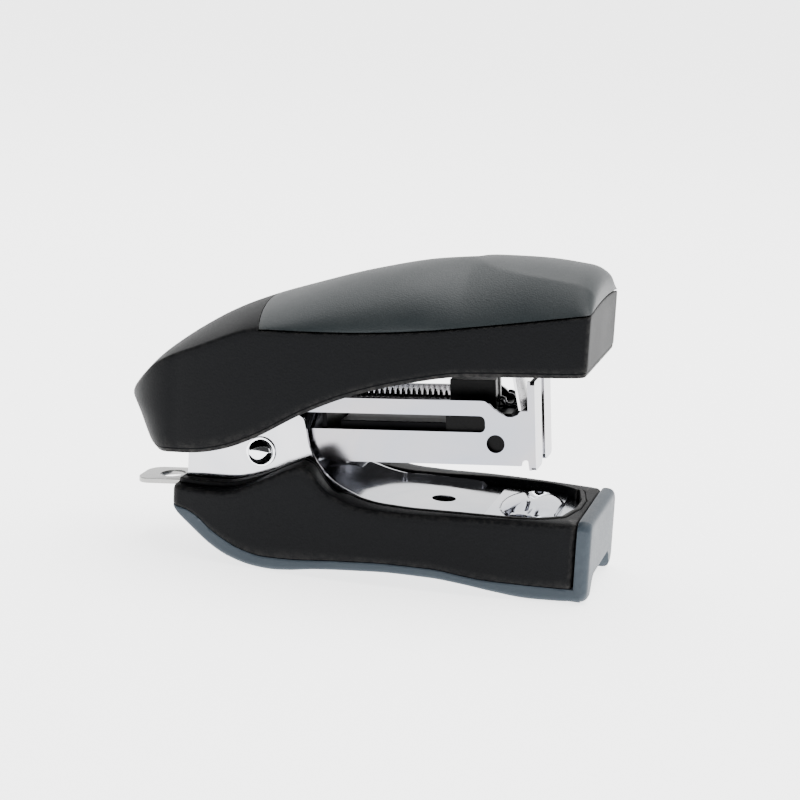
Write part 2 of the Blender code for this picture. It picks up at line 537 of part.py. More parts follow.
# ---------------------------------------------------------------- handle frame, driver and return spring
frame_mat = material("handle_steel", (0.6, 0.6, 0.61), 0.28, 1.0)
under_line = [(-3.4, -1.4), (0.0, -3.4), (3.0, -1.6), (4.6, 2.4), (8.0, 9.4), (14, 13.6), (22, 17.2), (32, 19.0), (46, 19.4)]
over_line = [(46, 27.2), (38, 26.9), (28, 25.6), (16, 22.6), (6, 18.0), (0.5, 11.0), (-2.6, 4.0)]
handle_frame = prism_y("handle_frame", under_line + over_line, -ARM_OUT, ARM_OUT)
inner = [(-9, -20), (60, -20), (60, 26.2), (38, 26.1), (28, 24.8), (16, 21.8), (6.4, 17.2), (0.9, 10.6), (-9, -6)]
cut(handle_frame, prism_y("inside", inner, -(ARM_OUT - ARM_T), ARM_OUT - ARM_T))
cut(handle_frame, rod_y("bore", 0, 0, PIN_R + 0.2, -20, 20, 24))
TAB_X, RIVET_Z = 44.6, 23.6
join(handle_frame, box("tab", TAB_X - 0.9, TAB_X, -5.5, 5.5, 18.6, 26.6))
cut(handle_frame, prism_x("rivet_bore", circle(0, RIVET_Z, 1.15, 16), 30, 60))
lay(handle_frame)
handle_frame.data.materials.append(frame_mat)
shade(handle_frame)

BLADE_T, BLADE_LEAN, BLADE_TIP = 0.55, 9.0, 7.9
blade_mat = material("driver_steel", (0.62, 0.61, 0.6), 0.22, 1.0)
lean = math.tan(math.radians(BLADE_LEAN))
tip_x = 47.6
kink = (tip_x - lean * (17.0 - BLADE_TIP), 17.0)
front = [(tip_x, BLADE_TIP), kink, (TAB_X + 0.12 + BLADE_T, 19.4), (TAB_X + 0.12 + BLADE_T, 25.8)]
driver_blade = prism_y("driver_blade", front + [(x - BLADE_T, z) for x, z in front[::-1]], -6.2, 6.2)
cut(driver_blade, prism_x("rivet_bore", circle(0, RIVET_Z, 1.15, 16), 30, 60))
lay(driver_blade)
driver_blade.data.materials.append(blade_mat)
shade(driver_blade)
driver_rivet = turned("driver_rivet", [(0.5, -2.0), (1.5, -1.8), (1.6, -1.1), (1.0, -1.05), (1.0, 0.72), (1.5, 0.77), (1.4, 1.0), (0.5, 1.08)], rivet_steel, n=16)
for v in driver_rivet.data.vertices:
    x, y, z = v.co
    v.co = (TAB_X * MM + z, y, RIVET_Z * MM + x)
lay(driver_rivet)
bm = bmesh.new()
bm.from_mesh(driver_rivet.data)
bmesh.ops.recalc_face_normals(bm, faces=bm.faces)
bm.to_mesh(driver_rivet.data)
bm.free()

turns, coil_r, wire_r = 6.0, 2.9, 0.45
coil = []
for k in range(int(turns * 14) + 1):
    a = 2 * math.pi * k / 14
    coil.append((coil_r * math.cos(a), -5.0 + 10.0 * k / (turns * 14), coil_r * math.sin(a)))
lead = [(20.0, -5.0, 20.2), (10.0, -5.0, 14.4), (4.6, -5.0, 8.0)]
tail = [(3.4, 5.0, -2.0), (5.2, 5.0, -2.6), (8.5, 5.0, -2.2)]
tail = [(coil_r, 5.0, 0.0 - 0.01), (3.1, 5.0, -1.4), (4.8, 5.0, -1.9), (8.6, 5.0, -1.2), (10.2, 5.0, -0.3)]
lead = [(15.0, -5.0, 19.6), (9.0, -5.0, 14.5), (5.2, -5.0, 7.6), (3.4, -5.0, 2.6)]
coil_path = lead + coil[:-1] + [(coil_r + 0.1, 5.0, -0.3), (3.6, 5.0, -1.2), (5.0, 5.0, -1.0), (9.6, 5.0, 1.2)]
handle_spring = lay(tube("handle_spring", coil_path, wire_r, 6, spring_mat))


# ---------------------------------------------------------------- joints and the datum
def joint(name, x, z, children, parent=None):
    e = bpy.data.objects.new(name, None)
    bpy.context.scene.collection.objects.link(e)
    e.location = (x * MM, 0, z * MM)
    bpy.context.view_layer.update()
    for c in children:
        c.parent = e
        c.matrix_parent_inverse = e.matrix_world.inverted()
    if parent:
        e.parent = parent
        e.matrix_parent_inverse = parent.matrix_world.inverted()
    return e


for o in list(bpy.context.scene.collection.objects):
    if o.type == "MESH":
        for v in o.data.vertices:
            v.co.x += DATUM_X * MM

magazine_joint = joint("magazine_hinge", PIVOT_X + DATUM_X, PIVOT_Z, [magazine_channel, staple_rail, rear_stop, guide_rod, pusher_spring])
slide_x, slide_z = in_magazine([(PUSHER_REAR, RAIL_TOP)])[0]
joint("pusher_slide", slide_x + DATUM_X, slide_z, [pusher], magazine_joint)
joint("handle_hinge", PIVOT_X + DATUM_X, PIVOT_Z, [cover_shell, cover_insert, handle_frame, driver_blade, driver_rivet, handle_spring], magazine_joint)
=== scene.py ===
"""Looks for the compact stapler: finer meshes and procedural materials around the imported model."""
import math

import bmesh
import bpy
import numpy as np
from mathutils import Matrix, Vector


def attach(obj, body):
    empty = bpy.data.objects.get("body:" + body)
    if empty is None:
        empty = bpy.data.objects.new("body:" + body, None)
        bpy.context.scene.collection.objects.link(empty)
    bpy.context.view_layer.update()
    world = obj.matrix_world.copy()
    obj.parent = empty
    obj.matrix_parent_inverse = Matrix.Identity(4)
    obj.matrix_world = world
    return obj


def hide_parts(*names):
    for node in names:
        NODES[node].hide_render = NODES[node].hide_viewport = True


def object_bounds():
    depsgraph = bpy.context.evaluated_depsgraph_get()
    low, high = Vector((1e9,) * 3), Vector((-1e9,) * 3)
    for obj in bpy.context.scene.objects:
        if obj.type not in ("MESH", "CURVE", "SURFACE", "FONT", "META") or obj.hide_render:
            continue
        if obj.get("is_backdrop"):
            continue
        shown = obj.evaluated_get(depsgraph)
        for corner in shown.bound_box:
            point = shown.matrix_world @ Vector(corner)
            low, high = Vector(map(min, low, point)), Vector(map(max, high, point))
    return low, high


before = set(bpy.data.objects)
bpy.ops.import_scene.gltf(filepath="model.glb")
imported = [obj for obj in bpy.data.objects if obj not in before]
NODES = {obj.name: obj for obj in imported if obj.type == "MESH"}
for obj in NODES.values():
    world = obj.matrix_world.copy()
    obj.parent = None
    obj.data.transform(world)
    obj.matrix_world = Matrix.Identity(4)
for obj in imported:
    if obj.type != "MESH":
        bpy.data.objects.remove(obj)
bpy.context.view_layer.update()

MM = 0.001
DATUM_X = 0.75
PX, PZ, TILT = -18.1, 19.7, math.radians(5.0)


# ================================================================ mesh helpers
def finish_mesh(mesh, smooth=35):
    bm = bmesh.new()
    bm.from_mesh(mesh)
    bmesh.ops.remove_doubles(bm, verts=bm.verts, dist=3e-6)
    bmesh.ops.dissolve_degenerate(bm, edges=bm.edges, dist=1e-6)
    bmesh.ops.recalc_face_normals(bm, faces=bm.faces)
    bm.to_mesh(mesh)
    bm.free()
    if smooth:
        mesh.shade_smooth()
        mesh.set_sharp_from_angle(angle=math.radians(smooth))


def obj_from(name, verts, faces, smooth=35):
    mesh = bpy.data.meshes.new(name)
    mesh.from_pydata([(x * MM, y * MM, z * MM) for x, y, z in verts], [], faces)
    finish_mesh(mesh, smooth)
    o = bpy.data.objects.new(name, mesh)
    bpy.context.scene.collection.objects.link(o)
    return o


def loft(name, rings, smooth=35):
    n = len(rings[0])
    verts = [p for r in rings for p in r]
    faces = []
    for i in range(len(rings) - 1):
        for j in range(n):
            a, b = i * n + j, i * n + (j + 1) % n
            faces.append((a, b, b + n, a + n))
    faces.append(tuple(range(n))[::-1])
    faces.append(tuple(range((len(rings) - 1) * n, len(rings) * n)))
    return obj_from(name, verts, faces, smooth)


def prism_y(name, pts, y0, y1):
    return loft(name, [[(x, y0, z) for x, z in pts], [(x, y1, z) for x, z in pts]])


def prism_z(name, pts, z0, z1):
    return loft(name, [[(x, y, z0) for x, y in pts], [(x, y, z1) for x, y in pts]])


def prism_x(name, pts, x0, x1):
    return loft(name, [[(x0, y, z) for y, z in pts], [(x1, y, z) for y, z in pts]])


def box(name, x0, x1, y0, y1, z0, z1):
    return prism_z(name, [(x0, y0), (x1, y0), (x1, y1), (x0, y1)], z0, z1)


def circle(cx, cy, r, n=40):
    return [(cx + r * math.cos(2 * math.pi * k / n), cy + r * math.sin(2 * math.pi * k / n)) for k in range(n)]


def rod_y(name, cx, cz, r, y0, y1, n=40):
    return prism_y(name, circle(cx, cz, r, n), y0, y1)


def rounded(pts, radius, steps=6):
    out, n = [], len(pts)
    rad = radius if isinstance(radius, (list, tuple)) else [radius] * n
    for k in range(n):
        p, a, b = np.array(pts[k], float), np.array(pts[k - 1], float), np.array(pts[(k + 1) % n], float)
        if rad[k] <= 0:
            out.append(tuple(p))
            continue
        u, v = (a - p), (b - p)
        lu, lv = np.linalg.norm(u), np.linalg.norm(v)
        u, v = u / lu, v / lv
        half = math.acos(max(-1.0, min(1.0, float(u @ v)))) / 2
        d = min(rad[k] / math.tan(half), lu * 0.49, lv * 0.49)
        for i in range(steps + 1):
            t = i / steps
            q = (1 - t) ** 2 * (p + u * d) + 2 * t * (1 - t) * (p + 0.12 * d * (u + v)) + t**2 * (p + v * d)
            out.append((float(q[0]), float(q[1])))
    return out


def curve(points):
    x = np.array([p[0] for p in points], float)
    y = np.array([p[1] for p in points], float)
    h, d = np.diff(x), np.diff(y) / np.diff(x)
    m = np.zeros(len(x))
    m[0], m[-1] = d[0], d[-1]
    for k in range(1, len(x) - 1):
        if d[k - 1] * d[k] > 0:
            w1, w2 = 2 * h[k] + h[k - 1], h[k] + 2 * h[k - 1]
            m[k] = (w1 + w2) / (w1 / d[k - 1] + w2 / d[k])

    def value(t):
        t = float(min(max(t, x[0]), x[-1]))
        k = int(min(max(np.searchsorted(x, t, side="right") - 1, 0), len(h) - 1))
        s = (t - x[k]) / h[k]
        return float(
            (2 * s**3 - 3 * s**2 + 1) * y[k] + (s**3 - 2 * s**2 + s) * h[k] * m[k]
            + (3 * s**2 - 2 * s**3) * y[k + 1] + (s**3 - s**2) * h[k] * m[k + 1]
        )

    return value


def boolean(target, cutter, operation="DIFFERENCE"):
    m = target.modifiers.new("b", "BOOLEAN")
    m.operation, m.solver, m.object = operation, "EXACT", cutter
    bpy.context.view_layer.update()
    done = bpy.data.meshes.new_from_object(target.evaluated_get(bpy.context.evaluated_depsgraph_get()))
    target.modifiers.remove(m)
    target.data = done
    target.data.materials.clear()
    bpy.data.objects.remove(cutter, do_unlink=True)
    return target


def cut(target, *cutters):
    for c in cutters:
        boolean(target, c)
    return target


def join(target, *others):
    for c in others:
        boolean(target, c, "UNION")
    return target


def soften(o, width=0.1, segments=2, angle=40, smooth=40):
    """Small radius on every sharp edge, as pressed and moulded edges have."""
    m = o.modifiers.new("edge", "BEVEL")
    m.width, m.segments, m.limit_method, m.angle_limit = width * MM, segments, "ANGLE", math.radians(angle)
    m.use_clamp_overlap, m.harden_normals = True, False
    m.miter_outer = "MITER_ARC"
    bpy.context.view_layer.update()
    done = bpy.data.meshes.new_from_object(o.evaluated_get(bpy.context.evaluated_depsgraph_get()))
    o.modifiers.remove(m)
    o.data = done
    o.data.shade_smooth()
    o.data.set_sharp_from_angle(angle=math.radians(max(smooth, 50)))
    w = o.modifiers.new("flat", "WEIGHTED_NORMAL")
    w.weight, w.keep_sharp = 100, True
    bpy.context.view_layer.update()
    done = bpy.data.meshes.new_from_object(o.evaluated_get(bpy.context.evaluated_depsgraph_get()))
    o.modifiers.remove(w)
    o.data = done
    return o


def tube(name, path, r, sides=12):
    path = [np.array(p, float) for p in path]
    rings, up = [], np.array([0.0, 1.0, 0.0])
    for k, p in enumerate(path):
        t = path[min(k + 1, len(path) - 1)] - path[max(k - 1, 0)]
        t /= np.linalg.norm(t)
        up = up - t * (up @ t)
        if np.linalg.norm(up) < 0.2:
            up = np.array([1.0, 0.0, 0.0]) - t * t[0]
        up /= np.linalg.norm(up)
        side = np.cross(t, up)
        rings.append([tuple(p + r * (math.cos(a) * up + math.sin(a) * side)) for a in [2 * math.pi * j / sides for j in range(sides)]])
    return loft(name, rings, 50)


def turned(name, profile, axis="Z", n=48, at=(0, 0, 0)):
    rings = []
    for r, h in profile:
        r = max(r, 0.02)
        ring = [(r * math.cos(2 * math.pi * k / n), r * math.sin(2 * math.pi * k / n), h) for k in range(n)]
        if axis == "Y":
            ring = [(x, z, y) for x, y, z in ring]
        rings.append([(x + at[0], y + at[1], z + at[2]) for x, y, z in ring])
    return loft(name, rings, 40)


def lay(o):
    """Turns a mesh drawn in the magazine's own axes, at the pin, into the frame."""
    c, s = math.cos(TILT), math.sin(TILT)
    co = np.zeros(len(o.data.vertices) * 3)
    o.data.vertices.foreach_get("co", co)
    co = co.reshape(-1, 3)
    x, z = co[:, 0].copy(), co[:, 2].copy()
    co[:, 0], co[:, 2] = PX * MM + x * c - z * s, PZ * MM + x * s + z * c
    o.data.vertices.foreach_set("co", co.ravel())
    o.data.update()
    return o


PIECES = []


def place(o, body, slot, mat, *nodes):
    for v in o.data.vertices:
        v.co.x += DATUM_X * MM
    o.data.materials.clear()
    o.data.materials.append(mat)
    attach(o, body)
    if nodes:
        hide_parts(*nodes)
    PIECES.append(o)
    return o


# ================================================================ procedural materials
def shader(name, base, rough, metal=0.0, spec=0.5, coat=0.0, coat_rough=0.1, aniso=0.0):
    m = bpy.data.materials.new(name)
    m.use_nodes = True
    t = m.node_tree
    b = t.nodes["Principled BSDF"]
    b.inputs["Base Color"].default_value = (*base, 1)
    b.inputs["Roughness"].default_value = rough
    b.inputs["Metallic"].default_value = metal
    b.inputs["Specular IOR Level"].default_value = spec
    b.inputs["Coat Weight"].default_value = coat
    b.inputs["Coat Roughness"].default_value = coat_rough
    b.inputs["Anisotropic"].default_value = aniso
    m.diffuse_color = (*base, 1)
    return m, t, b


class Net:
    """Short names for the node calls that every material here uses."""

    def __init__(self, tree):
        self.t = tree
        self.coord = tree.nodes.new("ShaderNodeTexCoord").outputs["Object"]

    def mapped(self, scale, rotate=(0, 0, 0)):
        n = self.t.nodes.new("ShaderNodeMapping")
        n.inputs["Scale"].default_value = scale
        n.inputs["Rotation"].default_value = rotate
        self.t.links.new(self.coord, n.inputs["Vector"])
        return n.outputs["Vector"]

    def noise(self, scale, detail=2.0, rough=0.5, vector=None, distort=0.0):
        n = self.t.nodes.new("ShaderNodeTexNoise")
        n.inputs["Scale"].default_value = scale
        n.inputs["Detail"].default_value = detail
        n.inputs["Roughness"].default_value = rough
        n.inputs["Distortion"].default_value = distort
        self.t.links.new(vector or self.coord, n.inputs["Vector"])
        return n.outputs["Fac"]

    def cells(self, scale, vector=None):
        n = self.t.nodes.new("ShaderNodeTexVoronoi")
        n.inputs["Scale"].default_value = scale
        self.t.links.new(vector or self.coord, n.inputs["Vector"])
        return n.outputs["Distance"]

    def ramp(self, fac, lo, hi, a, b):
        n = self.t.nodes.new("ShaderNodeMapRange")
        n.inputs["From Min"].default_value, n.inputs["From Max"].default_value = lo, hi
        n.inputs["To Min"].default_value, n.inputs["To Max"].default_value = a, b
        self.t.links.new(fac, n.inputs["Value"])
        return n.outputs["Result"]

    def colours(self, fac, a, b):
        n = self.t.nodes.new("ShaderNodeMix")
        n.data_type = "RGBA"
        n.inputs[6].default_value, n.inputs[7].default_value = (*a, 1), (*b, 1)
        self.t.links.new(fac, n.inputs[0])
        return n.outputs[2]

    def mix(self, fac, a, b):
        n = self.t.nodes.new("ShaderNodeMix")
        n.data_type = "RGBA"
        for socket, value in ((n.inputs[6], a), (n.inputs[7], b)):
            if isinstance(value, tuple):
                socket.default_value = (*value, 1)
            else:
                self.t.links.new(value, socket)
        self.t.links.new(fac, n.inputs[0])
        return n.outputs[2]

    def math(self, op, a, b):
        n = self.t.nodes.new("ShaderNodeMath")
        n.operation = op
        for socket, value in ((n.inputs[0], a), (n.inputs[1], b)):
            if isinstance(value, (int, float)):
                socket.default_value = value
            else:
                self.t.links.new(value, socket)
        return n.outputs[0]

    def bump(self, height, distance, strength, normal=None):
        n = self.t.nodes.new("ShaderNodeBump")
        n.inputs["Distance"].default_value = distance
        n.inputs["Strength"].default_value = strength
        self.t.links.new(height, n.inputs["Height"])
        if normal is not None:
            self.t.links.new(normal, n.inputs["Normal"])
        return n.outputs["Normal"]

    def edges(self, lo=0.52, hi=0.58):
        n = self.t.nodes.new("ShaderNodeNewGeometry")
        return self.ramp(n.outputs["Pointiness"], lo, hi, 0.0, 1.0)

    def link(self, value, socket):
        self.t.links.new(value, socket)


def grained(name, dark, light, rough, spec=0.5, grain=3200, depth=0.00005, strength=0.55, edge_wear_and_highlight=None, coat=0.0):
    m, t, b = shader(name, dark, rough, 0.0, spec, coat, 0.35)
    n = Net(t)
    cloud = n.noise(90, 4, 0.6)
    fine = n.noise(grain, 3, 0.6)
    cell = n.cells(grain * 0.62)
    colour = n.mix(n.ramp(cloud, 0.3, 0.7, 0, 1), dark, light)
    # Convex edges (pointiness) are mixed toward a lighter colour: partly edge wear, partly a painted edge highlight.
    if edge_wear_and_highlight:
        edge_wear_and_highlight_mask = n.math("MULTIPLY", n.edges(0.51, 0.60), n.ramp(n.noise(900, 3, 0.7), 0.42, 0.62, 0.15, 1.0))
        colour = n.mix(edge_wear_and_highlight_mask, colour, edge_wear_and_highlight)
    n.link(colour, b.inputs["Base Color"])
    n.link(n.math("ADD", n.ramp(cloud, 0.2, 0.8, rough - 0.05, rough + 0.05), n.ramp(fine, 0.3, 0.7, -0.05, 0.05)), b.inputs["Roughness"])
    height = n.math("ADD", n.math("MULTIPLY", fine, 0.6), n.math("MULTIPLY", cell, 0.9))
    n.link(n.bump(height, depth, strength), b.inputs["Normal"])
    return m


def steel(name, base, rough, stretch=(30, 30, 1200), swirl=0.0, tint=(0.72, 0.75, 0.80), scratch=0.35, aniso=0.0, smudge=0.06):
    m, t, b = shader(name, base, rough, 1.0, 0.5, 0.0, 0.1, aniso)
    n = Net(t)
    cloud = n.noise(140, 5, 0.62, None, 0.6)
    wide = n.noise(45, 3, 0.5, None, 1.2)
    lines = n.noise(1.0, 3, 0.7, n.mapped(stretch))
    fine = n.noise(2600, 2, 0.5)
    colour = n.mix(n.ramp(wide, 0.35, 0.7, 0.0, 1.0), base, tint)
    colour = n.mix(n.ramp(n.cells(420), 0.0, 0.12, 0.22, 0.0), colour, tuple(0.55 * c for c in base))
    n.link(colour, b.inputs["Base Color"])
    r = n.math("ADD", n.ramp(cloud, 0.3, 0.75, rough, rough + smudge), n.ramp(lines, 0.4, 0.7, 0.0, scratch * 0.12))
    n.link(r, b.inputs["Roughness"])
    h = n.math("ADD", n.math("MULTIPLY", lines, scratch), n.math("MULTIPLY", fine, 0.25))
    if swirl:
        h = n.math("ADD", h, n.math("MULTIPLY", n.noise(260, 2, 0.4, None, 3.5), swirl))
    n.link(n.bump(h, 0.00002, 0.25), b.inputs["Normal"])
    return m


# The lighter edge colour given to each grained material is edge wear plus a painted edge highlight.
M_BLACK = grained("black_plastic_grained", (0.0015, 0.0018, 0.0025), (0.0026, 0.0029, 0.0036), 0.52, 0.085, 5200, 0.00004, 0.7, edge_wear_and_highlight=(0.05, 0.048, 0.045))
M_BLACK_IN = grained("black_plastic_inside", (0.006, 0.006, 0.007), (0.010, 0.010, 0.011), 0.62, 0.3)
M_GRIP = grained("soft_grip_grey", (0.0150, 0.0195, 0.0215), (0.0200, 0.0245, 0.0260), 0.46, 0.24, 5600, 0.00004, 0.6, edge_wear_and_highlight=(0.034, 0.037, 0.037))
M_PAD = grained("sole_rubber", (0.031, 0.042, 0.054), (0.038, 0.050, 0.062), 0.46, 0.18, 2600, 0.00003, 0.3, edge_wear_and_highlight=(0.060, 0.075, 0.090))
M_CHROME = steel("chrome_plate", (0.66, 0.66, 0.68), 0.07, (40, 40, 40), 0.5, (0.50, 0.52, 0.57), 0.12)
M_FLOOR = steel("chrome_tray", (0.54, 0.54, 0.56), 0.06, (60, 60, 60), 0.25, (0.42, 0.44, 0.48), 0.08, smudge=0.10)
M_MAG = steel("magazine_plate", (0.34, 0.33, 0.345), 0.13, (40, 40, 900), 0.3, (0.28, 0.30, 0.35), 0.3)
M_RIVET = steel("rivet_polished", (0.86, 0.87, 0.89), 0.05, (60, 60, 60), 0.0, (0.80, 0.83, 0.88), 0.05)
M_TONGUE = steel("tumbled_steel", (0.34, 0.335, 0.32), 0.20, (500, 60, 60), 0.2, (0.25, 0.25, 0.25), 0.3)
M_SPRING = steel("spring_wire", (0.16, 0.16, 0.165), 0.20, (60, 900, 60), 0.0, (0.11, 0.11, 0.115), 0.3)
M_LEAF = steel("leaf_spring", (0.30, 0.30, 0.32), 0.13, (30, 900, 60), 0.2, (0.2, 0.22, 0.25), 0.3)
# Rail, rear stop and handle frame steel is near black: painted shade, so the slot and the space under the cover read
# dark.
M_RAIL_PAINTED_SHADE = steel("rail_steel", (0.006, 0.006, 0.0065), 0.40, (40, 700, 60), 0.0, (0.004, 0.004, 0.0045), 0.5)
M_BLADE = steel("driver_steel", (0.72, 0.72, 0.71), 0.16, (60, 60, 900), 0.0, (0.6, 0.6, 0.62), 0.4)
M_PUSH = grained("pusher_black", (0.0012, 0.0012, 0.0014), (0.0022, 0.0022, 0.0024), 0.38, 0.08, 2400, 0.00002, 0.3)

# ================================================================ outlines along the length, mm
base_half = curve([(-33.4, 13.9), (-28, 15.1), (-20, 16.4), (-10, 17.25), (0, 17.5), (10, 17.2), (20, 16.5), (30, 15.3), (40.9, 13.5)])
cover_half = curve([(-45.2, 4.0), (-44.4, 6.6), (-43, 8.9), (-41, 11.2), (-38, 13.5), (-34, 15.3), (-28, 16.5), (-20, 17.3), (-8, 17.75), (2, 17.8), (14, 17.3), (26, 16.3), (41.0, 14.4)])
rim_z = curve([(-33.4, 12.8), (-28.9, 12.9), (-23.4, 13.2), (-21.3, 13.7), (-18.3, 15.0), (-14.8, 16.95), (-10.6, 19.1), (-9.0, 19.75), (-7.5, 20.0), (-6.6, 19.3), (-5.3, 17.8), (-3.3, 15.95), (-0.6, 14.8), (1.6, 14.05), (6.2, 13.6), (10.7, 13.6), (15.7, 13.8), (20.9, 14.0), (40.9, 14.35)])
seam_z = curve([(-33.4, 9.2), (-30, 8.6), (-27.4, 7.4), (-26, 6.3), (-22.7, 4.5), (-19, 3.1), (-15, 2.45), (-10.2, 2.6), (-0.8, 3.5), (9.8, 4.1), (16.2, 4.05), (21.6, 3.4), (25.5, 2.95), (33, 2.7), (40.9, 2.5)])
sole_z = curve([(-33.4, 8.9), (-31.6, 7.0), (-28.4, 4.6), (-24.9, 2.4), (-21.5, 1.0), (-17.1, 0.15), (-13.8, 0.0), (-10, 0.35), (-5.4, 1.15), (2.2, 1.9), (9.8, 2.3), (16.3, 2.2), (21.6, 1.7), (27.4, 0.8), (32.5, 0.1), (34.5, 0.0), (44.0, 0.0)])
top_z = curve([(-45.2, 27.6), (-44.4, 29.3), (-42, 32.2), (-38, 36.0), (-32, 40.5), (-26, 44.1), (-20, 46.8), (-13, 49.4), (-1, 53.4), (11.6, 56.5), (21.8, 57.8), (29.7, 58.05), (37, 57.6), (41.0, 57.1)])
low_z = curve([(-40.2, 19.0), (-37, 18.85), (-33, 19.25), (-28, 19.95), (-22.5, 21.5), (-17.5, 23.85), (-8.2, 29.55), (0.7, 33.8), (11.3, 37.2), (19.2, 38.9), (29.2, 39.7), (39.6, 40.4), (41.0, 40.6)])
shoulder_z = curve([(-45.2, 27.2), (-43, 29.0), (-41, 31.0), (-37.2, 35.0), (-28, 39.6), (-17.2, 43.7), (-8.9, 44.2), (0.2, 44.9), (11.9, 46.3), (23.3, 48.2), (41.0, 51.4)])
frame_out = curve([(-32.0, 9.4), (-13, 9.4), (-9, 9.55), (-5, 10.05), (0, 10.95), (5, 11.75), (10, 12.25), (20, 12.7), (28, 12.5), (32, 11.9), (35, 10.6), (37.3, 8.7), (38.3, 6.5), (38.7, 3.0)])
crease_y = curve([(17.8, 0.0), (18.6, 2.6), (20.4, 5.2), (23.4, 7.6), (27, 9.0), (31, 9.8), (36, 10.1), (41.0, 10.2)])
heel = curve([(18.6, 0.50), (19.1, 0.585), (19.8, 0.65), (21.15, 0.725), (24.6, 0.875), (26.6, 0.97), (27.3, 1.0)])
expo_a = curve([(-45, 1.7), (-20, 1.75), (-5, 1.9), (6, 1.95), (20, 1.65), (41, 1.6)])
expo_b = curve([(-45, 0.95), (-24, 0.85), (-14, 0.68), (0, 0.58), (10, 0.58), (20, 0.74), (41, 0.8)])

FRONT, REAR, SEAM_X = 41.0, -45.2, -17.0


def seam_height(x, y):
    """Height of the insert's seam, which arches a little across the nose."""
    w = min(max((x - 38.5) / 2.5, 0.0), 1.0)
    w = w * w * (3 - 2 * w)
    h = max(cover_half(x), 1.0)
    return shoulder_z(x) + 0.85 * w * max(0.0, 1 - (y / h) ** 2)


def smooth_min(a, b, k):
    t = max(k - abs(a - b), 0.0) / k
    return min(a, b) - t * t * t * k / 6.0


def cover_height(x, y, zs=None):
    """Outer surface of the cover above its shoulder."""
    h = cover_half(x)
    zs = seam_height(x, y) if zs is None else zs
    base = shoulder_z(x)
    s = min(abs(y) / h, 1.0)
    a, b = expo_a(x), expo_b(x)
    facet = top_z(x) - (y / 8.0) ** 2
    if x > 17.8:
        c = crease_y(x)
        top = base + (top_z(x) - (c / 8.0) ** 2 - base) / max((1 - (c / h) ** a) ** b, 0.05)
        side = base + (top - base) * max(1 - s**a, 0.0) ** b
        z = smooth_min(side, facet, 0.14)
    else:
        z = base + (top_z(x) - base) * max(1 - s**a, 0.0) ** b
    n = 1.0
    if x > 36.6:
        n = max(1 - ((x - 36.6) / (FRONT - 36.6)) ** 3, 0.0) ** (1 / 3)
    return zs + max(z - zs, 0.0) * n if n < 1 else max(z, zs)


cover_half_side = cover_half


def cover_half(x):
    """Half width of the cover, with an elliptical heel."""
    if x < -33:
        return max(15.55 * math.sqrt(max(1 - ((-33 - x) / 12.2) ** 2, 0.0)), 0.4)
    return cover_half_side(x)


def weld_columns(name, rows, smooth=35):
    """Closed skin from rows of points over a closed loop of columns; first and last rows meet on the centre line."""
    n = len(rows[0])
    verts = [p for r in rows for p in r]
    faces = []
    for i in range(len(rows) - 1):
        for j in range(n):
            a, b = i * n + j, i * n + (j + 1) % n
            faces.append((a, b, b + n, a + n))
    return obj_from(name, verts, faces, smooth)


def full_loop(near):
    """Near-side columns from nose centre to heel centre, then their mirror images back."""
    return near + [(x, -y) for x, y in near[-2:0:-1]]


def bow(x):
    return 2.3 * math.exp(-(((x - SEAM_X) / 8.0) ** 2))


# ================================================================ top cover
near = [(FRONT, -13.6 * k / 11) for k in range(12)]
near += [(40.2 + 0.8 * math.cos(a), -13.62 - 0.8 * math.sin(a)) for a in [math.radians(v) for v in (22, 45, 68, 90)]]
xs = [39.4 - k * (39.4 + 16.6) / 50 for k in range(51)] + [-16.80, -17.02, -17.10, -17.2, -17.45] + [-18.0 - k * 15.0 / 14 for k in range(15)]
near += [(x, -cover_half(x)) for x in xs]
near += [(-33 - 12.2 * math.sin(a), -15.55 * math.cos(a)) for a in [math.radians(v) for v in np.linspace(4.5, 90, 22)]]
loop = full_loop(near)


def inward(k, pts):
    a, b = np.array(pts[k - 1]), np.array(pts[(k + 1) % len(pts)])
    t = b - a
    t /= max(np.linalg.norm(t), 1e-9)
    n = np.array([-t[1], t[0]])
    p = np.array(pts[k])
    return n if n @ (np.array([p[0] * 0.8, 0.0]) - p) > 0 else -n


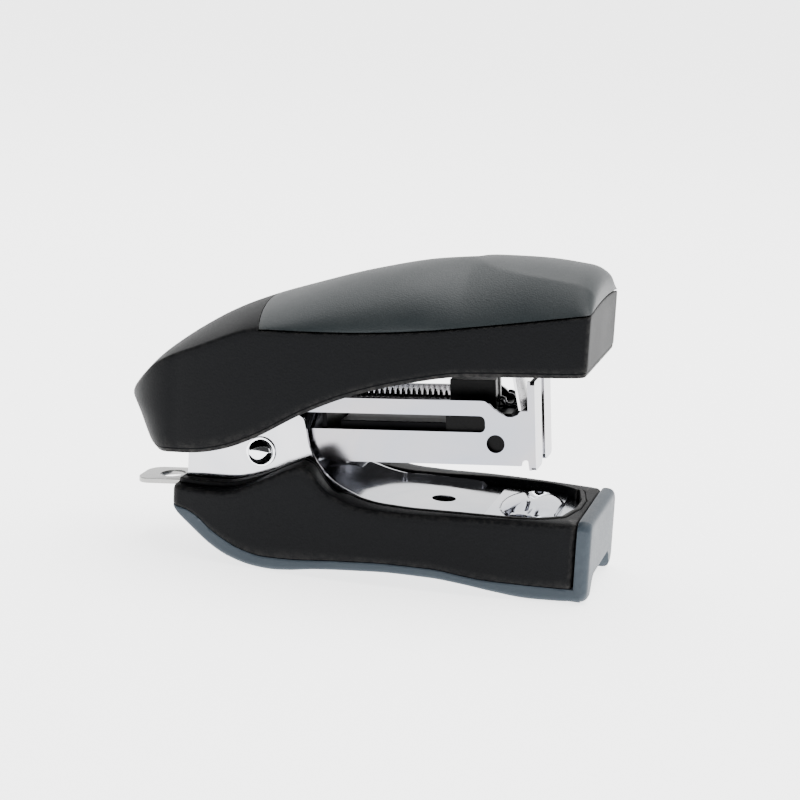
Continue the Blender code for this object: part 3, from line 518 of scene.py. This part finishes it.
columns = []
for k, (x, y) in enumerate(loop):
    n = inward(k, loop)

    def at(z, d=0.0):
        """Plan point of this column at height z, d inside the skin; the heel leans out as it rises."""
        px = x if x > -33 else -33 + (x + 33) * heel(z)
        return np.array([px + n[0] * d, y + n[1] * d])

    low_x = x if x > -33 else -33 + (x + 33) * 0.5
    zs, lo = seam_height(x, y), low_z(low_x)
    if x < -33:
        inner = np.array([-33 + (low_x + 33) * 0.62, y * 0.86])
    elif x > 40.1 and abs(y) < 14:
        inner = np.array([38.9, max(min(y, 12.4), -12.4)])
    else:
        inner = np.array([min(x, 38.9), y - math.copysign(2.0, y)])
    spine = min(max(x, -33.5), 29.0)
    deep = x > SEAM_X - 0.08
    tall = zs - lo
    lip = min(0.9, 0.35 * tall)
    base = at(lo + 0.1)
    col = [(spine, 0.0, top_z(spine) - 3.6), (*inner, min(zs - 1.9, cover_height(inner[0], inner[1]) - 3.0)), (*inner, lo + 0.25)]
    for f in (0.0, 0.25, 0.5, 0.72):
        q = inner + (base - inner) * f
        col.append((*q, lo))
    for d, z in ((0.46, 0.0), (0.30, 0.02), (0.21, 0.12 * lip), (0.09, 0.76 * lip), (0.17, 0.88 * lip), (0.15, 0.98 * lip), (0.02, 1.08 * lip)):
        col.append((*at(lo + z, d), lo + z))
    for f in (0.06, 0.14, 0.25, 0.38, 0.5, 0.62, 0.75, 0.86, 0.94):
        z = lo + lip * 1.12 + (zs - 0.55 * min(1, tall / 3) - lo - lip * 1.12) * f
        col.append((*at(z), z))
    if deep:
        edge = [(0.0, -0.45), (0.02, -0.32), (0.09, -0.21), (0.22, -0.15), (0.30, -0.18), (0.33, -0.62), (1.25, -0.64)]
        for d, z in edge:
            col.append((*at(zs, d), zs + z))
    else:
        for d, z in ((0.0, -0.40), (0.03, -0.22), (0.12, -0.02), (0.30, 0.0), (0.50, 0.0), (0.85, 0.0), (1.3, 0.0)):
            q = at(zs, d)
            zz = zs + z if d < 0.2 else cover_height(q[0], q[1])
            col.append((*q, max(zz, col[-1][2])))
    start = at(zs, 1.4)
    for u in np.linspace(0.03, 1.0, 22):
        q = start + (np.array([spine, 0.0]) - start) * u
        qx = q[0] - bow(q[0]) * (1 - (min(abs(q[1]) / cover_half(q[0]), 1)) ** 2)
        depth = 1.45 if deep else 0.0
        col.append((qx, q[1], cover_height(qx, q[1]) - depth))
    columns.append(col)
cover = weld_columns("cover_body", [[c[r] for c in columns] for r in range(len(columns[0]))], 32)
place(cover, "handle", "black_plastic", M_BLACK, "cover_shell")

# soft insert: a skin over the deck, from its rear seam to the nose
nx, nt = 110, 112
stations = [SEAM_X + 0.12 + (FRONT - SEAM_X - 0.12) * (1 - (1 - i / nx) ** 1.45) for i in range(nx + 1)]
topg, lowg = [], []
for x0 in stations:
    row_t, row_l = [], []
    x_in = min(max(x0, SEAM_X + 1.0), FRONT - 1.1)
    for j in range(nt + 1):
        th = math.pi * j / nt
        c = -math.cos(th)
        h = cover_half_side(x0)
        if x0 > 40.2:
            h -= 0.8 * (1 - math.sqrt(max(1 - ((x0 - 40.2) / 0.8) ** 2, 0.0)))
        if x0 > 38.0:
            h -= 1.9 * (1 - math.sqrt(max(1 - ((x0 - 38.0) / 3.01) ** 2, 0.0))) * (1 - abs(c) ** 14)
        y = h * c
        x = x0 - bow(x0) * (1 - c * c)
        zs = seam_height(x0, y) + 0.14
        row_t.append((x, y, max(cover_height(x, y * cover_half_side(x) / h, zs), zs)))
        yi = y * (1 - 1.0 / h)
        xi = x_in - bow(x_in) * (1 - c * c)
        zi = cover_height(min(xi, FRONT - 1.2), yi) - 1.2
        zi = zs if x0 > FRONT - 0.9 or j in (0, nt) else max(zi, zs)
        row_l.append((xi, yi, zi))
    topg.append(row_t)
    lowg.append(row_l)
m = nt + 1
verts = [p for r in topg for p in r] + [p for r in lowg for p in r]
off = len(topg) * m
faces = []
for i in range(nx):
    for j in range(nt):
        a = i * m + j
        faces.append((a, a + 1, a + m + 1, a + m))
        faces.append((a + off, a + m + off, a + m + 1 + off, a + 1 + off))
border = [j for j in range(nt)] + [i * m + nt for i in range(nx)] + [nx * m + j for j in range(nt, 0, -1)] + [i * m for i in range(nx, 0, -1)]
for k in range(len(border)):
    a, b = border[k], border[(k + 1) % len(border)]
    faces.append((a, a + off, b + off, b))
insert = obj_from("cover_grip", verts, faces, 38)
place(insert, "handle", "grey_grip", M_GRIP, "cover_insert")

# ================================================================ base housing
BF, BR = 40.9, -33.4
near = [(BF, -12.3 * k / 8) for k in range(9)]
near += [(BF - 1.1 + 1.1 * math.cos(a), -12.45 - 1.1 * math.sin(a)) for a in [math.radians(v) for v in (20, 45, 70, 90)]]
near += [(x, -base_half(x)) for x in np.linspace(39.0, -31.6, 74)]
near += [(-31.8 - 1.6 * math.sin(a), -(base_half(-31.8) - 1.6 + 1.6 * math.cos(a))) for a in [math.radians(v) for v in (15, 35, 55, 75, 90)]]
near += [(BR, -12.2 * (1 - k / 6)) for k in range(1, 7)]
loop = full_loop(near)


def bay_point(x, y):
    g = 0.3
    if x < -31.7:
        return np.array([-32.3, max(min(y, 9.7), -9.7)])
    if x > 39.9:
        t = min(abs(y) / 13.5, 1.0)
        a = t * t * (3 - 2 * t)
        xi = 38.99 - 1.9 * a
        yi = frame_out(xi - 0.3) + g if t > 0.25 else t / 0.25 * 3.3
        if t <= 0.25:
            xi = 38.99
        return np.array([xi, math.copysign(min(yi, abs(y)), y) if y else 0.0])
    xi = x if x < 28 else 28 + (x - 28) * 0.765
    return np.array([xi, math.copysign(frame_out(xi) + g, y)])


lip_rise = curve([(-33.4, 0.8), (-22, 0.8), (-18, 0.5), (-14.5, 0.12), (-9.2, 0.1), (-7.9, -0.9), (-5.6, -1.55), (-3.4, -1.5), (-1.4, -0.5), (1.5, 0.08), (41.0, 0.10)])
lip_width = curve([(-33.4, 1.6), (-28, 2.7), (-18, 2.7), (-12, 1.4), (-8, 0.9), (41.0, 0.8)])

cols_h, cols_p = [], []
for k, (x, y) in enumerate(loop):
    n = inward(k, loop)
    p, q = np.array([x, y]), bay_point(x, y)
    width = np.linalg.norm(q - p)
    d = (q - p) / width
    rz, sz = rim_z(x), seam_z(x)
    spine = min(max(x, -26.0), 31.0)
    step = lip_rise(x)
    lipw = min(lip_width(x), width * 0.5)
    drop = 0.95 if width > 1.6 else 0.45
    col = [(spine, 0.0, seam_z(spine) + 0.2), (*(p + n * 0.35), sz + 0.07), (*(p + n * 0.12), sz + 0.07), (*(p + n * 0.03), sz + 0.12), (*p, sz + 0.22)]
    for f in (0.15, 0.4, 0.65, 0.88, 1.0):
        col.append((*p, sz + 0.22 + (rz - drop - sz - 0.22) * f))
    for a in (22, 45, 68, 90):
        r = min(0.75, width * 0.3)
        col.append((*(p + d * r * (1 - math.cos(math.radians(a)))), rz - drop + (drop - 0.12) * math.sin(math.radians(a))))
    e = width - lipw
    at_lip = rz + min(step, 0.0) * 0.85
    mid = max(e - 0.5, 0.3 * e)
    col.append((*(p + d * (0.35 * e + 0.65 * min(1.0, width * 0.3))), rz - 0.02 + min(step, 0.0) * 0.12))
    col.append((*(p + d * mid), at_lip - 0.04))
    col.append((*(p + d * (e - 0.30)), at_lip - 0.06))
    col.append((*(p + d * (e - 0.22)), at_lip - 0.34))
    col.append((*(p + d * (e - 0.06)), at_lip - 0.34))
    col.append((*(p + d * (e - 0.01)), rz + step - 0.14))
    col.append((*(p + d * (e + 0.14)), rz + step))
    col.append((*(q - d * 0.2), rz + step + 0.02))
    col.append((*(q - d * 0.05), rz + step - 0.05))
    col.append((*q, rz + step - 0.22))
    col.append((*q, 12.6))
    col.append((*q, 11.35))
    col.append((spine, 0.0, 11.35))
    cols_h.append(col)
    # sole: a strip with its own soft bulge, and the ground face
    xs_ = min(x, BF)
    so = sole_z(x)
    t = sz - 0.06 - so
    foot = min(1.2, 0.42 * t)
    colp = [(spine, 0.0, seam_z(spine) - 0.15), (*(p + n * 0.45), sz - 0.06), (*(p + n * 0.12), sz - 0.07), (*(p + n * 0.02), sz - 0.18)]
    for f, o_ in ((0.3, -0.06), (0.6, -0.06)):
        colp.append((*p, sz - 0.18 - (t - 0.12 - foot) * f))
    for a in (0, 18, 36, 54, 72, 90):
        colp.append((*(p + n * foot * (1 - math.cos(math.radians(a)))), so + foot * (1 - math.sin(math.radians(a)))))
    inner = p + (np.array([spine, 0.0]) - p) * 0.3
    colp.append((*inner, so if x > 34 or x < -33 else sole_z(inner[0])))
    colp.append((spine, 0.0, sole_z(spine)))
    cols_p.append(colp)
housing = weld_columns("base_shell", [[c[r] for c in cols_h] for r in range(len(cols_h[0]))], 32)
cut(housing, box("t", BR - 2, -20, -4.95, 4.95, 9.9, 11.75))
housing.data.shade_smooth()
housing.data.set_sharp_from_angle(angle=math.radians(32))
place(housing, "base", "black_plastic", M_BLACK, "base_housing")

sole = weld_columns("sole", [[c[r] for c in cols_p] for r in range(len(cols_p[0]))], 40)
bump_pts = rounded([(-13.6, 0.0), (13.6, 0.0), (13.6, 14.7), (-13.6, 14.7)], [1.9, 1.9, 1.6, 1.6], 8)
rings = []
for x, inset in ((41.15, 0.5), (41.2, 0.2), (41.45, 0.03), (41.8, 0.0), (42.3, 0.0), (42.8, 0.08), (43.2, 0.28), (43.5, 0.6), (43.65, 0.95), (43.7, 1.4)):
    rings.append([(x, y * (1 - inset / 13.6), 7.35 + (z - 7.35) * (1 - inset / 7.35)) for y, z in bump_pts])
nose = loft("nose", rings, 40)
bridge = prism_x("bridge", rounded([(-13.5, 0.0), (13.5, 0.0), (13.5, 2.44), (-13.5, 2.44)], [1.15, 1.15, 0.12, 0.12], 6), 38.6, 42.4)
join(nose, bridge)
join(sole, nose)
cut(sole, prism_x("arch", rounded([(-11.2, -1), (-8.2, 4.1), (8.2, 4.1), (11.2, -1)], [0, 2.2, 2.2, 0], 10), 41.9, 50))
cut(sole, prism_x("arch", rounded([(-11.2, -1), (-9.6, 1.7), (9.6, 1.7), (11.2, -1)], [0, 1.0, 1.0, 0], 8), 33.0, 42.5))
soften(sole, 0.3, 3, 45, 40)
place(sole, "base", "grey_rubber", M_PAD, "base_pad")

# ================================================================ steel frame: tray, flared walls and ears
bay = list(np.linspace(-32.0, 28, 50)) + list(np.linspace(28.6, 38.4, 24)) + [38.6, 38.7]
near = [(x, -frame_out(x)) for x in bay]
outline = near + [(38.85, -1.5), (38.85, 1.5)] + [(x, -y) for x, y in near[::-1]]
tray = prism_z("tray", outline, 11.65, 12.4)
wall_top = curve([(-32.0, 18.0), (-31.8, 22.0), (-29, 25.5), (-24, 27.4), (-18, 28.0), (-13.2, 27.9), (-11.6, 27.3), (-10.4, 26.6), (-9.9, 25.0), (-9.3, 22.3), (-8.2, 19.9), (-6.3, 17.6), (-3.7, 15.6), (-0.8, 14.5), (1.7, 13.8), (4.5, 13.35), (17.6, 13.3), (19.2, 12.9), (19.5, 12.5)])
rear_edge = rounded([(-32.0, 28.0), (-32.0, 18.2), (-31.0, 14.2), (-30.6, 11.9)], [0, 2.0, 1.0, 0])
for side in (-1, 1):
    rings = []
    wx = [-32.0, -31.8, -31.4] + list(np.linspace(-30.6, -13.2, 18)) + list(np.linspace(-12.8, -7.0, 30)) + list(np.linspace(-6.6, 4.5, 24)) + list(np.linspace(5.5, 18.6, 14)) + [18.9, 19.2, 19.4, 19.5]
    for x in wx:
        y = frame_out(x) - 0.001
        rings.append([(x, side * y, 11.9), (x, side * y, wall_top(x)), (x, side * (y - 0.8), wall_top(x)), (x, side * (y - 0.8), 11.9)])
    join(tray, loft("wall", rings))
cut(tray, rod_y("bore", PX, PZ, 1.7, -20, 20), prism_z("h1", circle(14.15, 0, 2.2, 48), 5, 20), prism_z("h2", circle(-14.9, 0, 1.3, 24), 5, 20))
soften(tray, 0.14, 2, 50, 40)
place(tray, "base", "chromed_steel", M_FLOOR, "base_frame")

# anvil: a domed pressed plate with two clinching pockets
AX, AT = 30.2, 13.95
PB = 12.52
verts, faces = [], []
gx, gy = 72, 112
X0, X1, YH = 23.5, 35.5, 10.3
for j in range(gy + 1):
    for i in range(gx + 1):
        x, y = X0 + (X1 - X0) * i / gx, -YH + 2 * YH * j / gy
        r = math.hypot((x - AX - 0.3) / 5.55, y / 9.4)
        z = PB + 0.35 + (AT + 0.35 - PB - 0.35) * math.sqrt(max(0.0, 1 - r**2.3))
        reach = abs(y)
        deep = 0.22 + 1.0 * min(max((reach - 0.6) / 3.4, 0.0), 1.0)
        deep *= 1 - min(max((reach - 6.4) / 1.9, 0.0), 1.0) ** 2
        w = 0.65 + 0.17 * reach
        q = abs(x - AX) / w
        if q < 1.6:
            z -= deep * 0.5 * (1 + math.cos(math.pi * q / 1.6))
        z = max(z, PB + 0.3)
        verts.append((x, y, z))
count = len(verts)
verts += [(v[0], v[1], PB) for v in verts[:count]]
for j in range(gy):
    for i in range(gx):
        a = j * (gx + 1) + i
        faces.append((a, a + 1, a + gx + 2, a + gx + 1))
        faces.append((a + count, a + gx + 1 + count, a + gx + 2 + count, a + 1 + count))
rim = [i for i in range(gx)] + [gx + j * (gx + 1) for j in range(gy)] + [gy * (gx + 1) + i for i in range(gx, 0, -1)] + [j * (gx + 1) for j in range(gy, 0, -1)]
for k in range(len(rim)):
    a, b = rim[k], rim[(k + 1) % len(rim)]
    faces.append((a, a + count, b + count, b))
anvil = obj_from("anvil", verts, faces, 45)
place(anvil, "base", "chromed_steel", M_CHROME, "anvil_plate")

# remover tongue with its ring hole
outline = rounded([(-44.2, -4.6), (-13.2, -4.6), (-13.2, 4.6), (-44.2, 4.6)], [2.6, 1.0, 1.0, 2.6], 10)
tongue = prism_z("tongue", outline, 10.4, 11.35)
cut(tongue, prism_z("r", circle(-38.3, 0, 2.4, 48), 5, 20), prism_z("h", circle(-14.9, 0, 1.3, 24), 5, 20))
soften(tongue, 0.22, 3, 50, 40)
bm = bmesh.new()
bm.from_mesh(tongue.data)
for cutx in (-34.0, -36.0):
    bmesh.ops.bisect_plane(bm, geom=bm.verts[:] + bm.edges[:] + bm.faces[:], plane_co=(cutx * MM, 0, 0), plane_no=(1, 0, 0))
for v in bm.verts:
    if v.co.x < -34.0 * MM:
        v.co.z += (v.co.x + 34.0 * MM) * math.tan(math.radians(5.0))
bm.to_mesh(tongue.data)
bm.free()
place(tongue, "base", "hardened_steel", M_TONGUE, "remover_tongue")

# ================================================================ pin, washers, springs
dome = [(2.25, 0.0), (2.3, 0.12), (2.28, 0.35), (2.16, 0.62), (1.96, 0.86), (1.68, 1.07), (1.35, 1.24), (1.0, 1.35), (0.6, 1.42), (0.25, 1.45), (0.05, 1.45)]
head = 9.95
pin = turned("pin", [(r, -head - h) for r, h in dome[::-1]] + [(1.5, -head), (1.5, head)] + [(r, head + h) for r, h in dome], "Y", 56, (PX, 0, PZ))
place(pin, "base", "rivet_steel", M_RIVET, "pivot_pin")
for side, node in ((-1, "pivot_washer_near"), (1, "pivot_washer_far")):
    y0, y1 = sorted((side * 9.5, side * 9.85))
    w = cut(rod_y("washer" + node[12:], PX, PZ, 2.75, y0, y1, 56), rod_y("c", PX, PZ, 1.65, -20, 20))
    soften(w, 0.08, 2, 50, 40)
    place(w, "base", "rivet_steel", M_RIVET, node)

leaf = curve([(-27.5, 12.6), (-19.5, 12.6), (-15.5, 13.1), (-9.5, 15.4), (-5.5, 17.0), (-2.5, 17.55), (-0.5, 17.2)])
lx = list(np.linspace(-27.5, -0.5, 40))
band = prism_y("leaf_strip", [(x, leaf(x)) for x in lx] + [(x, leaf(x) + 0.4) for x in lx[::-1]], -3.6, 3.6)
cut(band, box("w", -17.2, -12.6, -2.3, 2.3, 5, 20))
soften(band, 0.1, 2, 50, 40)
place(band, "base", "spring_steel", M_LEAF, "lift_spring")

# ================================================================ magazine
FL, MT, S0, S1 = -1.83, 9.8, 4.07, 7.07
profile = rounded(
    [(-4.2, 0.0), (-3.0, -2.9), (0.0, -4.2), (2.9, -3.0), (4.2, 0.4), (5.0, 3.0), (5.9, 5.0), (8.9, 5.0), (9.15, 1.9), (9.9, 0.05), (11.0, -1.2), (12.7, FL), (47.6, FL), (47.75, -0.75), (48.8, -0.75), (49.0, FL - 0.75), (49.4, FL - 0.78), (49.4, 13.4), (48.9, 13.4), (48.9, 8.1), (47.6, 8.1), (47.1, 7.4), (46.2, 7.0), (45.2, 7.0), (44.2, 7.5), (42.9, 8.3), (42.0, 9.2), (41.2, 9.75), (40.4, MT), (6.0, MT), (1.5, 6.2), (-2.6, 3.6)],
    [1.6, 1.6, 1.6, 1.6, 0.8, 0.6, 0.4, 0.0, 0.6, 0.5, 0.6, 0.8, 0.1, 0.45, 0.3, 0, 0, 0, 0, 0, 0.3, 0.4, 0.6, 0.6, 0.5, 0.4, 0.4, 0.4, 0.4, 0.6, 1.0, 1.6], 4)
mag = prism_y("mag", profile, -7.3, 7.3)
cut(mag, box("i", -10, 60, -6.6, 6.6, FL + 0.7, 40), box("g", -10, 9.2, -6.6, 6.6, -20, 40), box("e", 47.3, 60, -6.6, 6.6, -20, 40))
cut(mag, prism_y("s", rounded([(5.4, S0), (41.2, S0), (41.2, S1), (5.4, S1)], [0, 0.95, 0.95, 0], 8), -20, 20), rod_y("sh", 43.0, 2.06, 1.65, -20, 20, 48), rod_y("b", 0, 0, 1.7, -20, 20))
for side in (-1, 1):
    y = [side * v for v in (1.25, 7.3)]
    fl = prism_x("flange", rounded([(y[0], FL - 0.8), (y[1], FL - 0.8), (y[1], 13.4), (y[0], 13.4)], [1.3, 0.7, 0.7, 0.4], 8), 49.35, 50.2)
    join(mag, fl)
soften(mag, 0.13, 2, 50, 40)
lay(mag)
place(mag, "magazine", "magazine_steel", M_MAG, "magazine_channel")

rail = box("rail", 14.0, 46.6, -5.3, 5.3, FL + 0.82, 5.3)
cut(rail, box("i", 13, 48, -4.6, 4.6, -20, 4.6))
soften(rail, 0.15, 2, 50, 40)
place(lay(rail), "magazine", "rail_steel", M_RAIL_PAINTED_SHADE, "staple_rail")

stop = box("stop", 10.9, 11.7, -6.3, 6.3, -0.9, 11.2)
join(stop, box("foot", 11.6, 13.6, -5.0, 5.0, FL + 0.82, FL + 1.52))
cut(stop, prism_x("b", circle(0, 8.75, 0.75, 24), 5, 20))
soften(stop, 0.12, 2, 50, 40)
place(lay(stop), "magazine", "magazine_steel", M_RAIL_PAINTED_SHADE, "rear_stop")

RZ = 8.75
eye = [(44.3 + 1.25 * math.cos(a), 0, RZ + 1.25 * math.sin(a)) for a in [math.radians(180 + 14 * k) for k in range(21)]]
wire = tube("rod", [(9.6, 0, RZ), (12, 0, RZ), (42.2, 0, RZ), (42.9, 0, RZ - 0.02)] + eye, 0.5, 14)
place(lay(wire), "magazine", "spring_steel", M_SPRING, "guide_rod")


def helix(name, x0, x1, turns, radius, wire_r, per_turn=24, sides=8, taper=0.0, z0=RZ):
    n = int(turns * per_turn)
    rings = []
    for k in range(n + 1):
        t = k / n
        r = radius * (1 - taper * max(0.0, (t - 0.86) / 0.14))
        a = 2 * math.pi * turns * t
        c = np.array([x0 + (x1 - x0) * t, r * math.cos(a), z0 + r * math.sin(a)])
        out = np.array([0.0, math.cos(a), math.sin(a)])
        rings.append([tuple(c + wire_r * (math.cos(b) * out + math.sin(b) * np.array([1.0, 0, 0]))) for b in [2 * math.pi * j / sides for j in range(sides)]])
    return loft(name, rings, 50)


coil = lay(helix("coil", 12.2, 33.3, 21, 1.45, 0.24, 24, 8, 0.25))
place(coil, "magazine", "spring_steel", M_SPRING, "pusher_spring")

push = box("slider", 33.8, 45.8, -6.3, 6.3, -0.4, 7.4)
join(push, box("bridge", 33.8, 42.2, -2.4, 2.4, 7.0, 12.6))
cut(push, box("s", 20, 60, -5.6, 5.6, -20, 5.6), prism_x("b", circle(0, RZ, 0.8, 24), 20, 60), box("e", 42.0, 60, -1.0, 1.0, 6.4, 20))
soften(push, 0.18, 2, 50, 40)
place(lay(push), "pusher", "pusher_plastic", M_PUSH, "pusher")

# ================================================================ handle frame, driver, return spring
under = [(-3.4, -1.4), (0.0, -3.4), (3.0, -1.6), (4.6, 2.4), (8.0, 9.4), (14, 13.6), (22, 17.2), (32, 19.0), (46, 19.4)]
over = [(46, 27.2), (38, 26.9), (28, 25.6), (16, 22.6), (6, 18.0), (0.5, 11.0), (-2.6, 4.0)]
arms = prism_y("arms", rounded(under + over, 1.2, 4), -8.3, 8.3)
inner = [(-9, -20), (60, -20), (60, 26.2), (38, 26.1), (28, 24.8), (16, 21.8), (6.4, 17.2), (0.9, 10.6), (-9, -6)]
cut(arms, prism_y("i", inner, -7.6, 7.6), rod_y("b", 0, 0, 1.7, -20, 20))
join(arms, box("tab", 43.7, 44.6, -5.5, 5.5, 18.6, 26.6))
cut(arms, prism_x("rb", circle(0, 23.6, 1.15, 24), 30, 60))
soften(arms, 0.13, 2, 50, 40)
place(lay(arms), "handle", "rail_steel", M_RAIL_PAINTED_SHADE, "handle_frame")

BT, LEAN, TIP = 0.55, math.tan(math.radians(9.0)), 7.9
front = [(47.6, TIP), (47.6 - LEAN * (17.0 - TIP), 17.0), (44.72 + BT, 19.4), (44.72 + BT, 25.8)]
blade = prism_y("blade", front + [(x - BT, z) for x, z in front[::-1]], -6.2, 6.2)
cut(blade, prism_x("rb", circle(0, 23.6, 1.15, 24), 30, 60))
soften(blade, 0.08, 2, 50, 40)
place(lay(blade), "handle", "hardened_steel", M_BLADE, "driver_blade")

a_ = 2 * math.pi / 26
coil_path = [(15.0, -5.0, 19.6), (12.0, -5.0, 17.2), (9.0, -5.0, 14.5), (7.0, -5.0, 11.2), (5.2, -5.0, 7.6), (4.2, -5.0, 5.0), (3.4, -5.0, 2.4), (3.0, -5.0, 1.0)]
coil_path += [(2.9 * math.cos(a_ * k), -5.0 + 10.0 * k / (6 * 26), 2.9 * math.sin(a_ * k)) for k in range(1, 6 * 26)]
coil_path += [(3.0, 5.0, -0.3), (3.6, 5.0, -1.1), (5.0, 5.0, -1.0), (7.4, 5.0, 0.1), (9.6, 5.0, 1.2)]
torsion = lay(tube("torsion", coil_path, 0.45, 10))
place(torsion, "handle", "spring_steel", M_SPRING, "handle_spring")
for node, m_ in (("tongue_rivet", M_RIVET), ("driver_rivet", M_RIVET)):
    NODES[node].data.materials.clear()
    NODES[node].data.materials.append(m_)

# ================================================================ floor, light, camera
bpy.ops.mesh.primitive_plane_add(size=6.0, location=(0, 0, -0.0002))
floor = bpy.context.object
floor.name = "floor"
fm, ft, fb = shader("floor_paper", (0.93, 0.93, 0.93), 0.9, 0.0, 0.0)
fn = Net(ft)
fn.link(fn.colours(fn.noise(6, 2, 0.5), (0.925, 0.925, 0.925), (0.935, 0.935, 0.935)), fb.inputs["Base Color"])
fb.inputs["Emission Color"].default_value = (1, 1, 1, 1)
fb.inputs["Emission Strength"].default_value = 2.6
floor.data.materials.append(fm)
floor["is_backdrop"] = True

world = bpy.data.worlds.new("studio")
bpy.context.scene.world = world
world.use_nodes = True
wt = world.node_tree
bg = wt.nodes["Background"]
coord = wt.nodes.new("ShaderNodeTexCoord")
sep = wt.nodes.new("ShaderNodeSeparateXYZ")
wt.links.new(coord.outputs["Generated"], sep.inputs[0])


def wmap(fac, a, b, c, d):
    n = wt.nodes.new("ShaderNodeMapRange")
    n.inputs["From Min"].default_value, n.inputs["From Max"].default_value = a, b
    n.inputs["To Min"].default_value, n.inputs["To Max"].default_value = c, d
    n.interpolation_type = "SMOOTHSTEP"
    wt.links.new(fac, n.inputs["Value"])
    return n.outputs["Result"]


back = wmap(sep.outputs["Y"], -0.30, 0.70, 0.06, 2.2)
up = wmap(sep.outputs["Z"], 0.5, 1.0, 0.0, 1.0)
add = wt.nodes.new("ShaderNodeMath")
add.operation = "ADD"
wt.links.new(back, add.inputs[0])
wt.links.new(up, add.inputs[1])
wt.links.new(add.outputs[0], bg.inputs["Strength"])
bg.inputs["Color"].default_value = (1, 1, 1, 1)


def area(name, loc, target, size, power, colour=(1, 1, 1)):
    data = bpy.data.lights.new(name, "AREA")
    data.shape, data.size, data.size_y = "RECTANGLE", size[0], size[1]
    data.energy, data.color = power, colour
    o = bpy.data.objects.new(name, data)
    bpy.context.scene.collection.objects.link(o)
    o.location = loc
    o.rotation_euler = (Vector(target) - Vector(loc)).to_track_quat("-Z", "Y").to_euler()
    return o


area("top_softbox", (0.05, 0.15, 0.75), (0, 0, 0.03), (0.9, 0.6), 7.0)
area("nose_softbox", (0.75, 0.02, 0.30), (0.03, 0, 0.03), (0.5, 0.5), 1.1)

right = np.array([0.96551897, -0.10692415, -0.23736122])
R = np.array([[0.96551897, 0.25506871, 0.05208715], [-0.10692415, 0.20611613, 0.97266817], [-0.23736122, 0.94469894, -0.22628204]])
cam_data = bpy.data.cameras.new("camera")
cam = bpy.data.objects.new("camera", cam_data)
bpy.context.scene.collection.objects.link(cam)
cam_data.sensor_width, cam_data.lens = 36.0, 99.0
cam_data.clip_start, cam_data.clip_end = 0.01, 20
M = Matrix(((R[0][0], R[1][0], -R[2][0], 0.100509), (R[0][1], R[1][1], -R[2][1], -0.377569), (R[0][2], R[1][2], -R[2][2], 0.120255), (0, 0, 0, 1)))
cam.matrix_world = M
bpy.context.scene.camera = cam

lo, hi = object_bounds()
